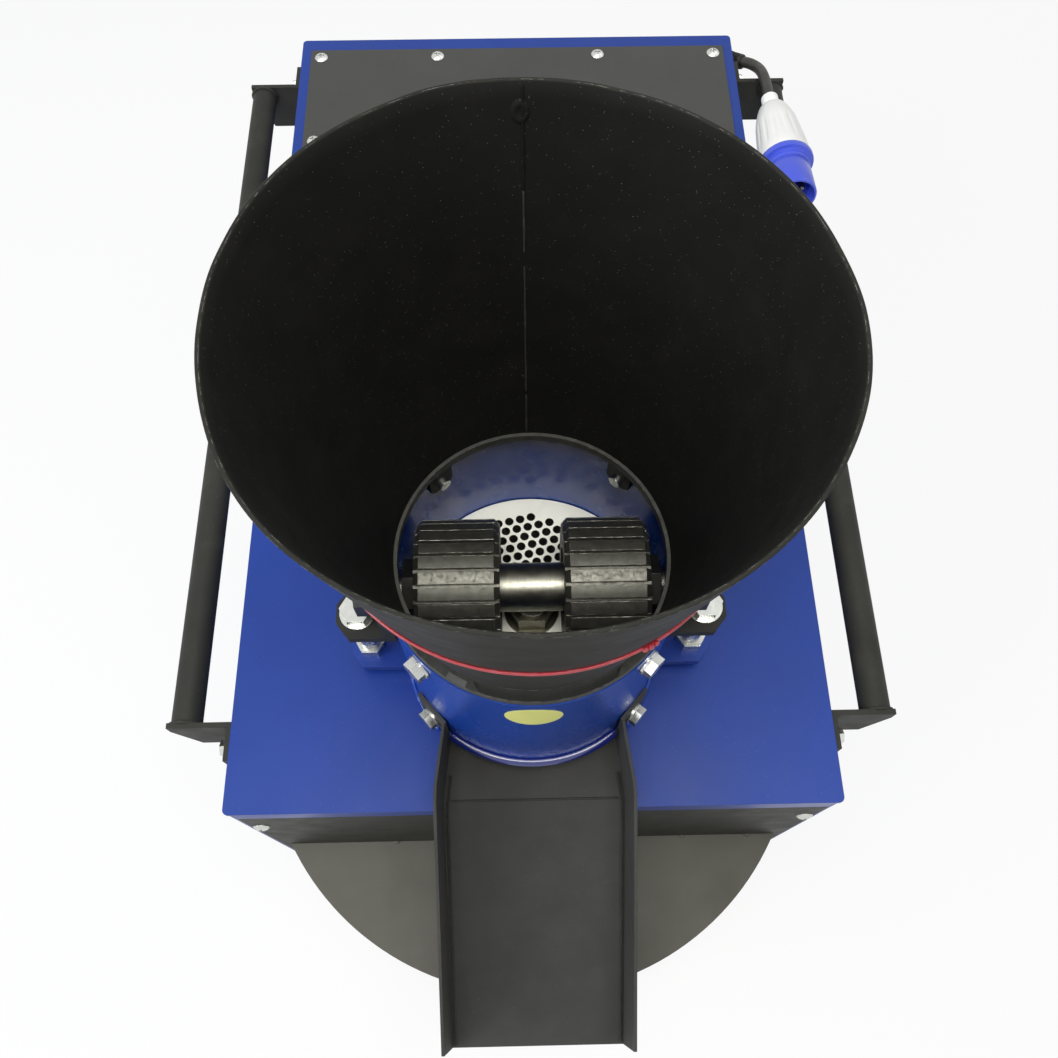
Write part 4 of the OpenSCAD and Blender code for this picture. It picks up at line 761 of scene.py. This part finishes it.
# The chute: the inner face of its walls, its fold, and the slope of its floor in front of the fold
CHUTE_X, FOLD_Y, FOLD_Z = 75.5, FRONT + 7, DECK + 9
SLOPE = math.atan2(151, 197)
TIP_Y, SHOULDER_Y, NECK_Y = FRONT - 187.4, FRONT - 5, FOLD_Y + 21
BEND_R, BEND_STEPS = 3.6, 8


def chute_bend(sign):
    """The rounded inside corner along one wall."""
    down = Vector((0, -math.sin(SLOPE), math.cos(SLOPE)))
    flat = Vector((0, 0, 1))

    def floor_z(y):
        return FOLD_Z + (y - FOLD_Y) * math.tan(SLOPE)

    spine = [(CHUTE_X, TIP_Y, floor_z(TIP_Y), down), (CHUTE_X, SHOULDER_Y, floor_z(SHOULDER_Y), down),
             (CHUTE_X - 1.0, FOLD_Y, FOLD_Z, (down + flat).normalized()),
             (CHUTE_X - 2.9, NECK_Y, FOLD_Z, flat)]
    rings = []
    for x, y, z, up in spine:
        inward = Vector((-sign, 0, 0))
        corner = Vector((sign * x, y, z)) - 0.2 * inward - 0.2 * up
        middle = corner + BEND_R * inward + BEND_R * up
        rings.append([corner] + [middle - BEND_R * (math.cos(t) * inward + math.sin(t) * up)
                                 for t in [math.pi / 2 * k / BEND_STEPS for k in range(BEND_STEPS + 1)]])
    m = BEND_STEPS + 2
    verts = [tuple(p) for ring in rings for p in ring]
    faces = [(i * m + k, i * m + (k + 1) % m, (i + 1) * m + (k + 1) % m, (i + 1) * m + k)
             for i in range(len(rings) - 1) for k in range(m)]
    faces += [tuple(range(m))[::-1], tuple(range((len(rings) - 1) * m, len(rings) * m))]
    return verts, faces


# A soft ridge where the floor folds down
ridge = [(x, FOLD_Y - 0.2, FOLD_Z - 0.75) for x in range(-73, 74, 2)]
o = add("chute_bends", *joined([chute_bend(-1), chute_bend(1), tube(ridge, 1.2, 12)]))
finish_of(o, "black")

# Short tacks between guard and front panel
beads = []
for x in (-144, 158, 227):
    beads.append(weld([(x - 3 + k * 1.5, FRONT + 0.3, DECK - 209.2) for k in range(5)], 2.0, 2.6, x * 0.1))
o = add("guard_tacks", *joined(beads))
finish_of(o, "guard")


# Screw threads

def thread(place, r, length, pitch, n):
    """A screw thread as one ridge that climbs round a rod."""
    verts, faces = [], []
    turns = length / pitch
    steps = max(2, int(turns * n))
    shape = [(0, -0.47), (0.176, 0.0), (0, 0.47)]
    for i in range(steps + 1):
        a = 2 * math.pi * i / n
        z0 = length * i / steps
        fade = min(1, 4 * i / n, 4 * (steps - i) / n)
        for dr, dz in shape:
            rr = r - 0.02 + dr * fade * pitch
            verts.append(place @ Vector((rr * math.cos(a), rr * math.sin(a), z0 + dz * pitch)))
    for i in range(steps):
        for j in range(2):
            faces.append((i * 3 + j, i * 3 + j + 1, (i + 1) * 3 + j + 1, (i + 1) * 3 + j))
    return verts, faces


# How far the adjusting bolts and the threads at the axle's ends stand from the middle
ADJUSTER_X, AXLE_END = 143, 136.2
for s, side in ((-1, "left"), (1, "right")):
    v, f = thread(at(s * ADJUSTER_X, HEAD_Y, DECK + 5), 8, 92, 2.0, 24)
    o = add("adjuster_thread_" + side, v, f, "adjusting_bolt_" + side)
    finish_of(o, "zinc")

parts = []
for s in (-1, 1):
    place = at(s * AXLE_END, HEAD_Y, AXIS_Z) @ Matrix.Rotation(math.radians(90 * s), 4, "Y")
    parts.append(thread(place, 11.8, 1.6, 1.5, 32))
o = add("axle_thread", *joined(parts), body="roller_carrier")
finish_of(o, "zinc")
v, f = thread(at(0, HEAD_Y, DECK + 131.2), 14.9, 3.6, 1.5, 32)
o = add("shaft_thread", v, f, "die_rotor")
finish_of(o, "zinc")


# Floor, world and lamps

# How much of the floor's own white is seen, the sky's strength, and half the floor's width in metres
FLOOR_GLOW = 0.85
SKY = 0.32
FLOOR_HALF = 25.0


def seen(tree):
    """One where a ray comes straight from the camera, off metal or through glass, and zero for the rest."""
    path = tree.nodes.new("ShaderNodeLightPath")
    value = path.outputs["Is Camera Ray"]
    for name in ("Is Glossy Ray", "Is Transmission Ray"):
        both = tree.nodes.new("ShaderNodeMath")
        both.operation = "MAXIMUM"
        tree.links.new(value, both.inputs[0])
        tree.links.new(path.outputs[name], both.inputs[1])
        value = both.outputs[0]
    return value


def stage():
    mesh = bpy.data.meshes.new("floor")
    corners = [(x * FLOOR_HALF, y * FLOOR_HALF, 0) for x, y in ((-1, -1), (1, -1), (1, 1), (-1, 1))]
    mesh.from_pydata(corners, [], [(0, 1, 2, 3)])
    floor = bpy.data.objects.new("floor", mesh)
    scene.collection.objects.link(floor)
    m = bpy.data.materials.new("floor")
    m.use_nodes = True
    nt = m.node_tree
    paper = nt.nodes["Principled BSDF"]
    paper.inputs["Base Color"].default_value = (0.9, 0.9, 0.9, 1)
    paper.inputs["Roughness"].default_value = 0.9
    paper.inputs["Specular IOR Level"].default_value = 0.1
    glow = nt.nodes.new("ShaderNodeEmission")
    glow.inputs["Color"].default_value = (1, 1, 1, 1)
    glow.inputs["Strength"].default_value = 1.0
    share = nt.nodes.new("ShaderNodeMath")
    share.operation = "MULTIPLY"
    share.inputs[1].default_value = FLOOR_GLOW
    nt.links.new(seen(nt), share.inputs[0])
    mix = nt.nodes.new("ShaderNodeMixShader")
    nt.links.new(share.outputs[0], mix.inputs[0])
    nt.links.new(paper.outputs[0], mix.inputs[1])
    nt.links.new(glow.outputs[0], mix.inputs[2])
    nt.links.new(mix.outputs[0], nt.nodes["Material Output"].inputs["Surface"])
    mesh.materials.append(m)

    world = bpy.data.worlds.new("world")
    scene.world = world
    world.use_nodes = True
    wt = world.node_tree
    sky = wt.nodes["Background"]
    sky.inputs["Color"].default_value = (0.80, 0.84, 0.9, 1)
    sky.inputs["Strength"].default_value = SKY
    white = wt.nodes.new("ShaderNodeBackground")
    white.inputs["Color"].default_value = (1, 1, 1, 1)
    white.inputs["Strength"].default_value = 1.0
    mix = wt.nodes.new("ShaderNodeMixShader")
    wt.links.new(seen(wt), mix.inputs[0])
    wt.links.new(sky.outputs[0], mix.inputs[1])
    wt.links.new(white.outputs[0], mix.inputs[2])
    wt.links.new(mix.outputs[0], wt.nodes["World Output"].inputs["Surface"])


def lamp(name, place, aim, size, power, color):
    """A lamp as a lit rectangle, in metres and watts."""
    data = bpy.data.lights.new(name, "AREA")
    data.shape, data.size, data.size_y = "RECTANGLE", size[0], size[1]
    data.energy, data.color = power, color
    obj = bpy.data.objects.new(name, data)
    scene.collection.objects.link(obj)
    obj.location = place
    obj.rotation_mode = "QUATERNION"
    obj.rotation_quaternion = (Vector(aim) - Vector(place)).to_track_quat("-Z", "Y")


stage()
lamp("overhead", (0.05, -0.62, 2.9), (0, -0.25, 0.4), (1.3, 0.9), 45, (1.0, 0.98, 0.93))
lamp("window", (-2.3, -1.3, 2.2), (0, 0, 0.4), (1.6, 1.6), 46, (0.95, 0.97, 1.0))
lamp("room", (2.2, 0.8, 2.4), (0, 0, 0.4), (1.8, 1.8), 6, (1.0, 0.98, 0.95))

scene.view_settings.view_transform = "Standard"
